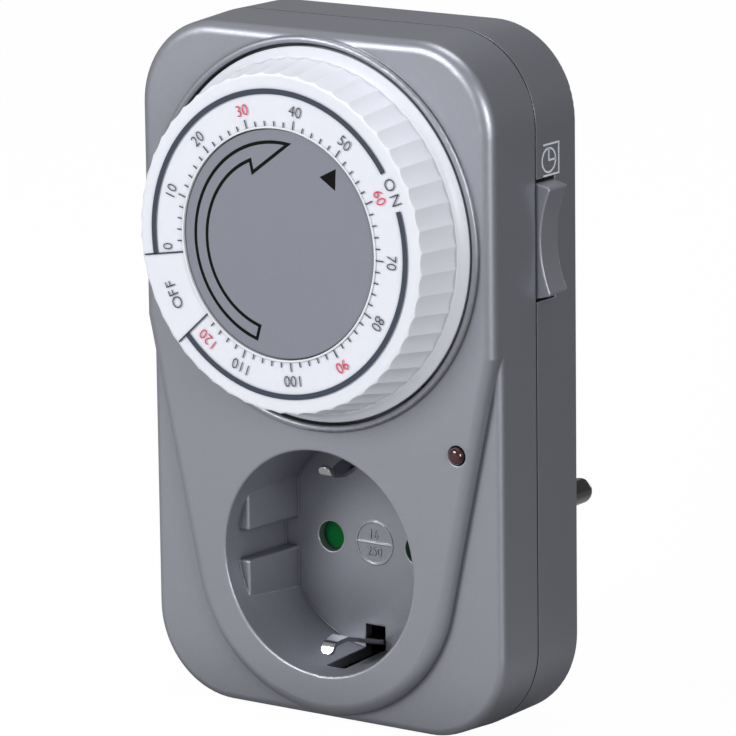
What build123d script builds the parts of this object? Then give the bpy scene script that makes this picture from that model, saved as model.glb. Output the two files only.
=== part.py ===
"""Plug-in countdown timer switch with an earthed through-socket.

Millimetres. +X is the viewer's right, the front faces -Y, +Z is up.
The origin is the centre of the plug's end face, on the common axis of plug and socket.
Depths are measured backwards from the flat front face of the case.
"""
from build123d import *
import os
from math import acos, atan, atan2, cos, degrees, hypot, radians, sin, sqrt, tan

os.makedirs("parts", exist_ok=True)

# ---------------------------------------------------------------- driving dimensions
# case, measured at the parting line where it is widest
case_half_width = 38.1
case_above_dial = 36.6       # from the dial axis to the top
case_bottom = -29.4
case_corner_radius = 16.5
case_depth = 25.7
parting_depth = 12.7
front_draft = 0.8            # inward lean of the side walls between parting line and front
rear_draft = 0.1             # inward lean between parting line and back
front_edge_radius = 2.2
rear_edge_radius = 0.4
wall = 2.2
seam_gap = 0.25              # open line round the case between its halves
seam_depth = 0.6
lip_height = 1.8
lip_wall = 1.2
lip_gap = 0.2
lip_root_bite = 0.3          # how far the root of the lip runs into the wall

# raised front panel that narrows round the socket
step_depth = 2.5
panel_radius = 27.8          # round the socket axis
panel_flare = 12.4           # degrees that each straight side leans outwards
step_edge_radius = 1.4

# plinth and plug on the back
plinth_half_width = 24.5
plinth_corner_radius = 13.0
plinth_depth = 10.5
plinth_edge_radius = 1.5
plug_radius = 18.5
plug_flat = 16.4             # half-width across the side flats
plug_length = 17.0
plug_end_wall = 7.2
plug_wall = 2.0              # behind the side flats
plug_groove_wall = 3.0       # round part, under the earth grooves
plug_edge_radius = 1.2
pin_spacing = 19.0
pin_radius = 2.4
pin_length = 19.0
pin_neck_radius = 2.2        # where the pin passes through the end of the plug
pin_neck = 0.3               # how far the neck shows behind the end of the plug
pin_seat_gap = 0.05          # between the neck and its bore, on the radius
pin_bore_chamfer = 0.3
pin_collar_radius = 3.5
pin_collar = 1.5

# socket
socket_mouth_radius = 20.4
mouth_edge_radius = 0.4
socket_floor_radius = 19.7
socket_depth = 17.5
socket_wall = 1.8
socket_floor = 1.8
pin_hole_radius = 2.8
rib_flat = 16.8              # half-distance between the leaning faces of the guide ribs, at the floor
rib_flat_front = 17.9        # the same at their front ends
rib_gap = 5.4                # clear height between the upper and the lower rib
rib_start = 3.9
rib_end = 14.0               # height where each rib meets the wall of the socket
rib_edge_radius = 0.5
floor_ring_radius = 4.05
floor_ring_width = 0.3
floor_ring_height = 0.12
clip_width = 4.0
clip_thickness = 0.8
clip_slot_clearance = 0.15
clip_root = 18.3             # height of the strip where it leaves the socket floor
clip_nose = 15.0             # height of its innermost bend
clip_nose_depth = 6.5
clip_tip_depth = 2.4
clip_tip = 17.2
clip_bend = 1.2
clip_lip_width = 2.6         # each clip narrows towards its tip
clip_taper_depth = 8.5       # where it starts to narrow
clip_tip_radius = 1.1        # rounding of the corners of each tip
clip_slot_front = 5.0        # the slot behind each clip runs from here to the socket floor
clip_window_gap = 0.2        # round the strip where it leaves the socket floor

# dial
dial_height = 59.1           # axis of the dial above the plug axis
dial_face = 10.25            # how far the face stands in front of the case
dial_face_radius = 29.4
dial_grip_radius = 31.4      # at the foot of the grip
dial_grip_foot = 3.0         # height of the grip's foot in front of the case
dial_flange_radius = 33.2
dial_flange_front = 0.5
dial_flange = 1.5
dial_skin = 1.8
flutes = 50
flute_depth = 0.36
well_gap = 0.6
well_depth = 1.7
well_floor = 1.7
collar_width = 1.2
collar_height = 0.8
collar_edge_radius = 0.5
hub_hole_gap = 0.6           # between the hub's shoulder and the hole in the well
marker_radius = 20.2
marker_gap = 0.15
marker_thickness = 1.5
marker_recess = 0.15         # face of the marker disc below the rim round it
rim_radius = 20.7
rim_height = 0.25
grip_top_radius = 30.3
grip_edge = 0.95             # height of the rounded edge between face and grip
flute_radius = 7.0
flute_turn = 0.8             # degrees that the first flute stands below +X
flange_sweep = 0.35          # hollow between flange and grip
zero_line = 260.8            # where the 0 of the scale stands, degrees clockwise from the top
marker_direction = 41.0      # where the fixed marker points

# movement
post_radius = 3.0
shaft_fit = 0.05             # running clearance of shafts, on the radius
hub_radius = 6.0
hub_shoulder_radius = 7.6
hub_shoulder_depth = 4.3
hub_shell_radius = 22.4      # inner wall under the face of the dial
gear_module = 0.5
tooth_addendum = 0.42
tooth_dedendum = 0.55
tooth_thickness = 0.64
wheel_flank = 20.0           # lean of a tooth's side in degrees
pinion_flank = 12.0
dial_teeth = 64
dial_pinion_teeth = 16
second_teeth = 48
second_pinion_teeth = 8
first_teeth = 44
motor_teeth = 8
dial_gear_thickness = 2.0
wheel_thickness = 1.2
layer_gap = 0.4
washer_thickness = 0.6
cam_thickness = 1.8
cam_radius = 14.0
cam_notch = 1.5              # fall of the contact spring into the off notch
off_sector = 32.7            # degrees of the dial marked as off
arbor_radius = 0.8
plate_depth = 13.0
plate_thickness = 1.6
plate_inset = 5.1            # its edge inside the widest line of the case
plate_below = 28.1           # below and above the dial axis
plate_above = 29.4
motor_radius = 14.5
motor_x = -11.0
motor_rise = 17.4            # motor axis above the dial axis
motor_back_gap = 0.3         # between the motor and the back wall
motor_shaft_radius = 0.9
motor_ear = 0.8              # thickness of the fixing ears
motor_ear_reach = 17.0
motor_ear_direction = 20.0
second_angle = 200.0         # direction of the second arbor from the dial axis

# spring contact worked by the cam
switch_width = 9.5
switch_half_height = 10.0
switch_front = 7.2
clamp_height = 4.0           # foot of the block that clamps the contact spring
spring_thickness = 0.3
spring_width = 3.0
spring_top = 9.0             # end of the contact spring above the dial axis
contact_rise = 7.0           # contacts above the dial axis
rivet_radius = 1.2
rivet_height = 0.7
nose_gap = 0.3
block_pin_radius = 1.0
block_pin_length = 4.0
block_pin_reach = 7.0
terminal_depth = 9.0
terminal_thickness = 0.8
terminal_length = 4.0
terminal_width = 3.0
terminal_drop = 6.0          # each terminal above or below the dial axis

# manual override rocker
rocker_rise = 0.6            # middle of the rocker above the dial axis
rocker_half_height = 10.1    # at the surface of the case
rocker_tip_half = 9.4
rocker_width = 5.5
rocker_gap = 0.3
rocker_window_gap = 0.65     # leaves room for the tilt
rocker_waist = 0.8           # proud of the case at its middle
rocker_horn = 2.9            # proud of the case at its ends
rocker_pivot_depth = 4.3     # pivot inside the widest line of the case
rocker_sink = 1.2            # straight part of its ends inside the wall
rocker_apex = 2.2            # inner point of its wedge, off the pivot
rocker_pin_radius = 1.0
rocker_pin_bite = 0.4        # end of the pin in its switch, behind the rocker
rocker_cheek = 1.3           # walls of its switch that hold the pin
stem_wall = 1.2              # round the pin
stem_length = 2.6
stem_height = 3.6
finger_height = 2.0
finger_room = 0.8            # beyond the end of the finger
rocker_room = 6.5            # half-height of the space for the stem
rocker_switch_width = 8.0
rocker_switch_inset = 2.7    # its outer side inside the widest line of the case
rocker_switch_half = 11.5
link_width = 2.0

# indicator lamp
lamp_inset = 8.2             # inside the widest line of the case
lamp_z = 23.3
lamp_radius = 1.55
lamp_proud = 1.0
lamp_fit = 0.15
lamp_flange_radius = 1.9
lamp_hole_gap = 0.3          # round the flange of the lamp
lamp_board_front = 6.2
lamp_board_thickness = 1.2
lamp_post_radius = 1.2
lamp_stake_radius = 0.7
board_half_width = 4.7       # of the lamp's board, each side of the lamp
board_below = 6.1
board_above = 6.9
lamp_leg_radius = 0.25
lamp_leg = 0.7               # each leg beside the lamp's axis
resistor_radius = 1.1
resistor_reach = 3.3         # beside the lamp

# screws and bosses
screw_radius = 1.5
screw_head_radius = 2.8
screw_head = 1.8
screw_bite = 7.0
screw_fit = 0.02
screw_clearance = 0.2
head_clearance = 0.3
boss_radius = 3.4
rear_boss_radius = 4.4
boss_split = 14.0
head_pocket_depth = 17.0
small_screw_radius = 1.2
small_head_radius = 2.4
small_boss_radius = 2.8
small_head = 1.4
motor_screw_radius = 0.8
motor_screw_head_radius = 1.6

# shutter and contacts
shutter_reach = 13.0
shutter_half_angle = 19.5
shutter_thickness = 1.4
shutter_hub_radius = 4.0
pivot_radius = 1.5
spring_radius = 3.6
spring_wire = 0.22
spring_turns = 2.5
carrier_gap = 2.2            # from the socket floor to the carrier plate
carrier_thickness = 3.0
carrier_radius = 20.5
carrier_foot = 13.6
carrier_foot_radius = 2.0
tube_radius = 4.6
tube_bore = 3.5
contact_radius = 3.2
contact_bore = 2.45
contact_inset = 2.5          # front of each sleeve behind the front of the carrier
contact_slit = 0.3           # half-width of the slits that let a sleeve spring
contact_slit_length = 8.0
contact_disc = 0.6
tail_half = 0.4
stub_length = 2.0

# wiring
mains_wire = 0.8             # radius with insulation
thin_wire = 0.45
lamp_wire = 0.4
solder_gap = 0.15            # between the end of a lead and a round surface

# ---------------------------------------------------------------- derived places
front_y = -(case_depth + plinth_depth + plug_length)
back_wall = case_depth - wall
plinth_face = case_depth + plinth_depth
plinth_wall = plinth_face - wall
plug_face = plinth_face + plug_length
plug_cavity_end = plug_face - plug_end_wall
cup_back = socket_depth + socket_floor
lamp_board_back = lamp_board_front + lamp_board_thickness
carrier_front = cup_back + carrier_gap
carrier_back = carrier_front + carrier_thickness
case_top = dial_height + case_above_dial
case_height = case_top - case_bottom
case_middle = (case_top + case_bottom) / 2
front_taper = degrees(atan(front_draft / parting_depth))
rear_taper = degrees(atan(rear_draft / (case_depth - parting_depth)))
pin_x = pin_spacing / 2
well_radius = dial_flange_radius + well_gap
well_back = well_depth + well_floor
dial_axis = (0, dial_height)
rocker_height = dial_height + rocker_rise
screws_low = (case_half_width - 10.1, case_bottom + 11.1)
screws_high = (case_half_width - 8.8, case_top - 12.4)
housing_screws = [(side * x, z) for x, z in (screws_low, screws_high) for side in (-1, 1)]
plate_screws = [(-28.5, dial_height - 23.1), (28.5, dial_height - 21.1), (17.0, dial_height + 24.9)]
plate_bottom = dial_height - plate_below
plate_top = dial_height + plate_above
rocker_pivot_x = case_half_width - rocker_pivot_depth
rocker_switch_right = case_half_width - rocker_switch_inset
rocker_switch_left = rocker_switch_right - rocker_switch_width
lamp_x = case_half_width - lamp_inset
lamp_posts = [(lamp_x - 1.9, lamp_z - 4.7), (lamp_x + 2.3, lamp_z + 4.7)]
lamp_board_left, lamp_board_right = lamp_x - board_half_width, lamp_x + board_half_width
lamp_board_low, lamp_board_high = lamp_z - board_below, lamp_z + board_above
resistor_x = lamp_x - resistor_reach

# layers of the movement, by depth
dial_gear_front = hub_shoulder_depth + washer_thickness
dial_gear_back = dial_gear_front + dial_gear_thickness
cam_back = dial_gear_back + cam_thickness
hub_ring_back = cam_back + washer_thickness
hub_end = hub_ring_back + 0.5
second_wheel_front = hub_ring_back + layer_gap
second_wheel_back = second_wheel_front + wheel_thickness
first_wheel_front = second_wheel_back + layer_gap
first_wheel_back = first_wheel_front + wheel_thickness
plate_back = plate_depth + plate_thickness
motor_length = back_wall - plate_back - motor_back_gap
arbor_front = well_back + 0.4
pinion_front = well_back + 1.4
body_gap = 0.3               # between pieces that pass each other
spring_face = cam_radius + nose_gap + cam_notch    # side of the contact spring towards the cam
spring_back = spring_face + spring_thickness
switch_left = spring_back + 2 * rivet_height

# gear centres in the plane of the dial
second_reach = gear_module * (dial_teeth + dial_pinion_teeth) / 2
first_reach = gear_module * (second_teeth + second_pinion_teeth) / 2
motor_reach = gear_module * (first_teeth + motor_teeth) / 2
motor_axis = (motor_x, dial_height + motor_rise)
second_axis = (second_reach * cos(radians(second_angle)),
               dial_height + second_reach * sin(radians(second_angle)))
span_x, span_z = motor_axis[0] - second_axis[0], motor_axis[1] - second_axis[1]
span = hypot(span_x, span_z)
first_turn = atan2(span_z, span_x) + acos(
    (first_reach**2 + span**2 - motor_reach**2) / (2 * first_reach * span))
first_axis = (second_axis[0] + first_reach * cos(first_turn), second_axis[1] + first_reach * sin(first_turn))


def at_depth(depth):
    """Plane across the case, facing the viewer: its local axes are X and Z."""
    return Plane(origin=(0, front_y + depth, 0), x_dir=(1, 0, 0), z_dir=(0, -1, 0))


def facing_back(depth):
    """Plane across the case, facing away from the viewer: its local axes are -X and Z."""
    return Plane(origin=(0, front_y + depth, 0), x_dir=(-1, 0, 0), z_dir=(0, 1, 0))


def case_outline(inset=0.0, mode=Mode.ADD):
    """Rounded rectangle of the case at the parting line, or inside it by inset."""
    width, height = 2 * (case_half_width - inset), case_height - 2 * inset
    with Locations((0, case_middle)):
        RectangleRounded(width, height, case_corner_radius - inset, mode=mode)


def panel_outline(inset=0.0, mode=Mode.ADD):
    """The raised panel: an arc round the socket and two straight sides that lean outwards."""
    radius = panel_radius - inset
    lean = radians(panel_flare)
    start = (radius * cos(lean), -radius * sin(lean))
    run = case_height + case_half_width
    end = (start[0] + run * sin(lean), start[1] + run * cos(lean))
    with BuildLine() as edge:
        Line(end, start)
        ThreePointArc(start, (0, -radius), (-start[0], start[1]))
        Line((-start[0], start[1]), (-end[0], end[1]))
        Line((-end[0], end[1]), end)
    make_face(edge.edges(), mode=mode)


def ring(depth_front, depth_back, outer, inner, centre, mode=Mode.ADD):
    """Ring, or disc where inner is 0, between two depths."""
    with BuildSketch(at_depth(depth_back)) as section:
        with Locations(centre):
            Circle(outer)
            if inner > 0:
                Circle(inner, mode=Mode.SUBTRACT)
    extrude(section.sketch, amount=depth_back - depth_front, mode=mode)


def block(depth_front, depth_back, x_low, x_high, z_low, z_high, mode=Mode.ADD):
    """Box between two depths, two widths and two heights."""
    with BuildSketch(at_depth(depth_back)) as section:
        with Locations(((x_low + x_high) / 2, (z_low + z_high) / 2)):
            Rectangle(x_high - x_low, z_high - z_low)
    extrude(section.sketch, amount=depth_back - depth_front, mode=mode)


def cone(depth_front, radius_front, depth_back, radius_back, mode=Mode.ADD):
    """Tapered plug on the socket axis."""
    with BuildSketch(at_depth(depth_back)) as back:
        Circle(radius_back)
    with BuildSketch(at_depth(depth_front)) as front:
        Circle(radius_front)
    loft([back.sketch, front.sketch], mode=mode)


def save(builder, label):
    """Label the finished piece and write it to its own file."""
    builder.part.label = label
    export_step(builder.part, f"parts/{label}.step")


# ---------------------------------------------------------------- front housing
with BuildPart() as front_block:
    with BuildSketch(at_depth(parting_depth)):
        case_outline()
    extrude(amount=parting_depth, taper=front_taper)

with BuildPart() as raised_panel:
    add(front_block.part)
    with BuildSketch(at_depth(parting_depth)):
        panel_outline()
    extrude(amount=parting_depth, mode=Mode.INTERSECT)
    fillet(raised_panel.faces().sort_by(Axis.Y)[0].edges(), front_edge_radius)

# space inside the socket, with the guide ribs left standing and the slots for the earth clips
slot_half = clip_width / 2 + clip_slot_clearance
slot_outside = socket_mouth_radius + socket_wall + 1
beyond_mouth = socket_mouth_radius + 2
with BuildPart() as guide_rib:
    with BuildSketch(Plane.XY.offset(rib_gap / 2)):
        with BuildLine():
            Polyline(
                (rib_flat, front_y + socket_depth),
                (beyond_mouth, front_y + socket_depth),
                (beyond_mouth, front_y + rib_start),
                (rib_flat_front, front_y + rib_start),
                close=True,
            )
        make_face()
    extrude(amount=rib_end - rib_gap / 2)
    corner = Vertex(rib_flat_front, front_y + rib_start, rib_gap / 2)
    fillet([edge for edge in guide_rib.edges() if edge.distance_to(corner) < 0.01], rib_edge_radius)

with BuildPart() as socket_space:
    cone(-1, socket_mouth_radius, socket_depth, socket_floor_radius)
    rib = guide_rib.part
    for across in (rib, rib.mirror(Plane.YZ)):
        add(across, mode=Mode.SUBTRACT)
        add(across.mirror(Plane.XY), mode=Mode.SUBTRACT)
    for side in (-1, 1):
        with BuildSketch(Plane.YZ.offset(-slot_half)):
            with BuildLine():
                Polyline(
                    (front_y + clip_slot_front, side * (socket_floor_radius - 0.5)),
                    (front_y + clip_slot_front, side * slot_outside),
                    (front_y + cup_back + 1, side * slot_outside),
                    (front_y + cup_back + 1, side * (clip_nose + clip_window_gap)),
                    (front_y + socket_depth, side * (clip_nose + clip_window_gap)),
                    (front_y + socket_depth, side * (socket_floor_radius - 0.5)),
                    close=True,
                )
            make_face()
        extrude(amount=2 * slot_half)
    for side in (-1, 1):
        ring(socket_depth - 0.1, cup_back + 1, pin_hole_radius, 0, (side * pin_x, 0))

with BuildPart() as front_housing:
    add(front_block.part)
    split(bisect_by=at_depth(step_depth), keep=Keep.BOTTOM)
    fillet(front_housing.faces().sort_by(Axis.Y)[0].edges(), step_edge_radius)
    add(raised_panel.part)
    # hollow the shell: the full outline up to the step, then the panel only
    with BuildSketch(at_depth(parting_depth)):
        case_outline(wall)
    extrude(amount=parting_depth - step_depth - wall, taper=front_taper, mode=Mode.SUBTRACT)
    with BuildSketch(at_depth(step_depth + wall)):
        case_outline(wall + front_draft)
        panel_outline(wall, Mode.INTERSECT)
    extrude(amount=step_depth, mode=Mode.SUBTRACT)
    # dial well with its raised collar
    ring(1.0, well_back, well_radius + 1.0, 0, dial_axis)
    ring(-collar_height, well_back, well_radius + collar_width, 0, dial_axis)
    ring(-collar_height - 1, well_depth, well_radius, 0, dial_axis, Mode.SUBTRACT)
    ring(0, well_back + 1, hub_shoulder_radius + hub_hole_gap, 0, dial_axis, Mode.SUBTRACT)
    collar_edges = front_housing.edges().filter_by(GeomType.CIRCLE).sort_by(Axis.Y)[0:2]
    fillet(collar_edges, collar_edge_radius)
    # socket cup
    cone(1.0, socket_mouth_radius + socket_wall, cup_back, socket_floor_radius + socket_wall)
    add(socket_space.part, mode=Mode.SUBTRACT)
    # ring and bar standing on the socket floor
    ring(socket_depth - floor_ring_height, socket_depth + 0.1, floor_ring_radius,
         floor_ring_radius - floor_ring_width, (0, 0))
    block(socket_depth - floor_ring_height, socket_depth + 0.1, -floor_ring_radius + 0.1,
          floor_ring_radius - 0.1, -0.12, 0.12)
    # bosses for the case screws, the movement plate and the lamp board
    for x, z in housing_screws:
        start = step_depth + 0.6 if z < 0 else 1.2
        ring(start, boss_split - 0.1, boss_radius, screw_radius + screw_fit, (x, z))
    for x, z in plate_screws:
        ring(1.8 if hypot(x, z - dial_height) > well_radius else well_back - 0.5, plate_depth,
             small_boss_radius, small_screw_radius + screw_fit, (x, z))
    for centre in (second_axis, first_axis):
        ring(well_back - 0.5, well_back + 1.0, arbor_radius + 1.4, 0, centre)
        ring(arbor_front, well_back + 2, arbor_radius + shaft_fit, 0, centre, Mode.SUBTRACT)
    for x, z in lamp_posts:
        ring(1.6, lamp_board_front, lamp_post_radius, 0, (x, z))
        ring(lamp_board_front - 0.1, lamp_board_back + lamp_board_thickness,
             lamp_stake_radius, 0, (x, z))
    ring(-1, wall + 2, lamp_radius + lamp_fit, 0, (lamp_x, lamp_z), Mode.SUBTRACT)
    ring(wall, lamp_board_front, lamp_flange_radius + lamp_hole_gap, 0, (lamp_x, lamp_z),
         Mode.SUBTRACT)
    # soften the edges of the socket mouth and the lamp hole
    front_circles = front_housing.edges().filter_by(GeomType.CIRCLE).filter_by_position(
        Axis.Y, front_y - 0.01, front_y + 0.01)
    fillet([edge for edge in front_circles if abs(edge.radius - socket_mouth_radius) < 0.1],
           mouth_edge_radius)
    chamfer([edge for edge in front_circles if abs(edge.radius - lamp_radius - lamp_fit) < 0.01], lamp_fit)

save(front_housing, "front_housing")

# ---------------------------------------------------------------- rear housing
def plug_outline(inset=0.0):
    """Round plug with a flat on each side."""
    Circle(plug_radius - inset)
    Rectangle(2 * (plug_flat - inset), 2 * plug_radius, mode=Mode.INTERSECT)


def plinth_outline(inset=0.0):
    """Rounded square round the plug."""
    side = 2 * (plinth_half_width - inset)
    RectangleRounded(side, side, plinth_corner_radius - inset)


lip_inset = wall + lip_gap + lip_wall
earth_outer = clip_root - clip_thickness / 2
plug_strip_height = earth_outer - clip_thickness / 2
groove_half = clip_width / 2 + 0.2
with BuildPart() as rear_housing:
    with BuildSketch(facing_back(parting_depth)):
        case_outline()
    extrude(amount=case_depth - parting_depth, taper=rear_taper)
    fillet(rear_housing.faces().sort_by(Axis.Y)[-1].edges(), rear_edge_radius)
    with BuildSketch(at_depth(parting_depth + seam_gap)):
        case_outline(-1)
        case_outline(seam_depth, Mode.SUBTRACT)
    extrude(amount=seam_gap, mode=Mode.SUBTRACT)
    with BuildSketch(facing_back(case_depth - wall)):
        plinth_outline()
    extrude(amount=plinth_depth + wall, taper=1)
    fillet(rear_housing.faces().sort_by(Axis.Y)[-1].edges(), plinth_edge_radius)
    with BuildSketch(facing_back(plinth_face - wall)):
        plug_outline()
    extrude(amount=plug_length + wall)
    fillet(rear_housing.faces().sort_by(Axis.Y)[-1].edges(), plug_edge_radius)
    # hollow inside of case, plinth and plug
    with BuildSketch(facing_back(parting_depth)):
        case_outline(wall)
    extrude(amount=back_wall - parting_depth, taper=rear_taper, mode=Mode.SUBTRACT)
    with BuildSketch(facing_back(back_wall - 0.1)):
        plinth_outline(wall + 0.2)
    extrude(amount=plinth_wall - back_wall + 0.1, mode=Mode.SUBTRACT)
    with BuildSketch(facing_back(plinth_wall - 0.1)):
        Circle(plug_radius - plug_groove_wall)
        Rectangle(2 * (plug_flat - plug_wall), 2 * plug_radius, mode=Mode.INTERSECT)
    extrude(amount=plug_cavity_end - plinth_wall + 0.1, mode=Mode.SUBTRACT)
    # lip that centres the front housing: rooted in the wall behind the parting line, free in front of it
    for depth, outer in ((parting_depth + lip_height, wall - lip_root_bite), (parting_depth, wall + lip_gap)):
        with BuildSketch(at_depth(depth)):
            case_outline(outer)
            case_outline(lip_inset, Mode.SUBTRACT)
        extrude(amount=lip_height)
    # lip cut away round the rocker switch
    switch_room = rocker_switch_half + 0.5
    block(parting_depth - lip_height - 1, parting_depth + lip_height + 1,
          case_half_width - lip_inset - 0.5, case_half_width - wall,
          rocker_height - switch_room, rocker_height + switch_room, Mode.SUBTRACT)
    # window for the rocker
    window_half = rocker_half_height + rocker_window_gap
    block(parting_depth - lip_height - 1, parting_depth + rocker_width + 2 * rocker_gap,
          case_half_width - lip_inset - 0.5, case_half_width + 1,
          rocker_height - window_half, rocker_height + window_half, Mode.SUBTRACT)
    # screw towers, sunk from the back
    for x, z in housing_screws:
        ring(boss_split, back_wall + 0.5, rear_boss_radius, 0, (x, z))
        ring(boss_split - 1, head_pocket_depth + 1, screw_radius + screw_clearance, 0, (x, z), Mode.SUBTRACT)
        ring(head_pocket_depth, case_depth + 1, screw_head_radius + head_clearance, 0, (x, z), Mode.SUBTRACT)
    # bores of the plug pins and grooves of the earth strip
    for side in (-1, 1):
        ring(plug_cavity_end - 1, plug_face + 1, pin_neck_radius + pin_seat_gap, 0, (side * pin_x, 0),
             Mode.SUBTRACT)
        low, high = sorted((side * (plug_strip_height - clip_thickness / 2 - 0.1), side * (plug_radius + 1)))
        block(plinth_face - 0.5, plug_face - 2.0, -groove_half, groove_half, low, high, Mode.SUBTRACT)
        low, high = sorted((side * (plug_strip_height - clip_thickness / 2 - 0.1),
                            side * (plug_strip_height + clip_thickness / 2 + 0.3)))
        block(plinth_wall - 1, plinth_face + 0.5, -groove_half, groove_half, low, high, Mode.SUBTRACT)
    bore_edges = rear_housing.edges().filter_by(GeomType.CIRCLE).filter_by_position(Axis.Y, -0.01, 0.01)
    chamfer([edge for edge in bore_edges if edge.radius < pin_radius], pin_bore_chamfer)
save(rear_housing, "rear_housing")

# ---------------------------------------------------------------- plug pins
stub_front = plug_cavity_end - pin_collar - stub_length
for side, label in ((-1, "plug_pin_neutral"), (1, "plug_pin_live")):
    with BuildPart() as plug_pin:
        ring(plug_face + pin_neck, plug_face + pin_length, pin_radius, 0, (side * pin_x, 0))
        fillet(plug_pin.faces().sort_by(Axis.Y)[-1].edges(), pin_radius * 0.8)
        ring(plug_cavity_end - 0.1, plug_face + pin_neck, pin_neck_radius, 0, (side * pin_x, 0))
        ring(plug_cavity_end - pin_collar, plug_cavity_end, pin_collar_radius, 0, (side * pin_x, 0))
        ring(stub_front, plug_cavity_end - pin_collar, pin_radius * 0.7, 0, (side * pin_x, 0))
    save(plug_pin, label)


# ---------------------------------------------------------------- earth strips
def bent_strip(path, width, thickness):
    """Flat strip bent along a path of (depth, height) points, centred on X."""
    with BuildSketch(Plane.YZ.offset(-width / 2)) as side_view:
        with BuildLine() as centre_line:
            FilletPolyline([(front_y + depth, z) for depth, z in path], radius=clip_bend)
        trace(centre_line.edges(), line_width=thickness)
    extrude(side_view.sketch, amount=width)


def mirrored(arm):
    """A path of (depth, height) points carried on into its own mirror image below the axis."""
    return arm + [(depth, -z) for depth, z in reversed(arm)]


cross_depth = carrier_back + clip_thickness / 2 + 0.2
with BuildPart() as socket_earth_strip:
    bent_strip(mirrored([
        (clip_tip_depth, clip_tip),
        (clip_tip_depth + 0.9, clip_nose + 0.4),
        (clip_nose_depth, clip_nose),
        (socket_depth + 0.5, clip_root),
        (cross_depth, clip_root),
    ]), clip_width, clip_thickness)
    for side in (-1, 1):
        with BuildSketch(Plane.XY.offset(-socket_mouth_radius)):
            with BuildLine():
                Polyline(
                    (side * clip_width / 2, front_y + clip_taper_depth),
                    (side * clip_lip_width / 2, front_y + clip_tip_depth + 1),
                    (side * clip_lip_width / 2, front_y),
                    (side * clip_width, front_y),
                    (side * clip_width, front_y + clip_taper_depth),
                    close=True,
                )
            make_face()
        extrude(amount=2 * socket_mouth_radius, mode=Mode.SUBTRACT)
    tips = [face for face in socket_earth_strip.faces()
            if abs(face.area - clip_lip_width * clip_thickness) < 0.01]
    fillet([edge for tip in tips for edge in tip.edges() if edge.length < 2 * clip_thickness],
           clip_tip_radius)
save(socket_earth_strip, "socket_earth_strip")

with BuildPart() as plug_earth_strip:
    bent_strip(mirrored([
        (plug_face - 3.0, plug_strip_height),
        (plug_face - 9.0, plug_strip_height + 0.5),
        (plinth_face + 1.5, plug_strip_height),
        (cross_depth + clip_thickness, plug_strip_height),
    ]), clip_width, clip_thickness)
save(plug_earth_strip, "plug_earth_strip")

# ---------------------------------------------------------------- dial
def toward(radius, clock):
    """Place (x, z) at a radius from the dial axis, clock degrees counted clockwise from the top."""
    return (radius * sin(radians(clock)), dial_height + radius * cos(radians(clock)))


dial_section = Plane(origin=(0, front_y, dial_height), x_dir=(1, 0, 0), z_dir=(0, 0, 1))
dial_turning = Axis((0, front_y, dial_height), (0, 1, 0))
recess_radius = marker_radius + marker_gap
marker_front = -dial_face + marker_recess
web_front = marker_front + marker_thickness + body_gap
web_back = web_front + 1.6
flange_back = dial_flange - dial_flange_front
grip_run = dial_face - grip_edge - dial_grip_foot
flute_lean = atan2(dial_grip_radius - grip_top_radius, grip_run)

with BuildPart() as flute:
    foot = (dial_grip_radius + flute_radius - flute_depth, front_y - dial_grip_foot, dial_height)
    with Locations(Plane(origin=foot, z_dir=(-sin(flute_lean), -cos(flute_lean), 0))):
        Cylinder(flute_radius, 2 * grip_run, align=(Align.CENTER, Align.CENTER, Align.MIN))

with BuildPart() as dial_knob:
    with BuildSketch(dial_section) as half:
        with BuildLine() as profile:
            Polyline(
                (dial_face_radius, -dial_face),
                (rim_radius, -dial_face),
                (rim_radius, -dial_face - rim_height),
                (recess_radius, -dial_face - rim_height),
                (recess_radius, web_front),
                (post_radius + shaft_fit, web_front),
                (post_radius + shaft_fit, hub_end),
                (hub_radius, hub_end),
                (hub_radius, hub_shoulder_depth),
                (hub_shoulder_radius, hub_shoulder_depth),
                (hub_shoulder_radius, web_back),
                (hub_shell_radius, web_back),
                (hub_shell_radius, -dial_face + dial_skin),
                (grip_top_radius - dial_skin - flute_depth, -dial_face + dial_skin),
                (dial_grip_radius, flange_back),
                (dial_flange_radius, flange_back),
                (dial_flange_radius, -dial_flange_front + 0.2),
                (dial_flange_radius - 0.3, -dial_flange_front),
            )
            ThreePointArc(
                (dial_flange_radius - 0.3, -dial_flange_front),
                ((dial_flange_radius + dial_grip_radius) / 2 - 0.15 - flange_sweep,
                 -(dial_flange_front + dial_grip_foot) / 2 + flange_sweep / 2),
                (dial_grip_radius, -dial_grip_foot),
            )
            Line((dial_grip_radius, -dial_grip_foot), (grip_top_radius, grip_edge - dial_face))
            ThreePointArc(
                (grip_top_radius, grip_edge - dial_face),
                (dial_face_radius + 0.7 * (grip_top_radius - dial_face_radius),
                 0.3 * grip_edge - dial_face),
                (dial_face_radius, -dial_face),
            )
        make_face(profile.edges())
    revolve(half.sketch, axis=dial_turning)
    add([flute.part.rotate(dial_turning, flute_turn + 360 * number / flutes)
         for number in range(flutes)], mode=Mode.SUBTRACT)
save(dial_knob, "dial_knob")

with BuildPart() as marker_disc:
    ring(marker_front, marker_front + marker_thickness, marker_radius, 0, dial_axis)
    fillet(marker_disc.faces().sort_by(Axis.Y)[0].edges(), 0.2)
    ring(marker_front + 1, plate_back + 1.9, post_radius, 0, dial_axis)
    ring(plate_back + 0.1, plate_back + 0.9, post_radius + 1, post_radius - 0.6, dial_axis, Mode.SUBTRACT)
save(marker_disc, "marker_disc")

with BuildPart() as retaining_clip:
    ring(plate_back + 0.15, plate_back + 0.85, post_radius + 1.5, post_radius - 0.55, dial_axis)
    block(plate_back, plate_back + 1, -1.6, 1.6, dial_height - 6, dial_height, Mode.SUBTRACT)
save(retaining_clip, "retaining_clip")

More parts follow.
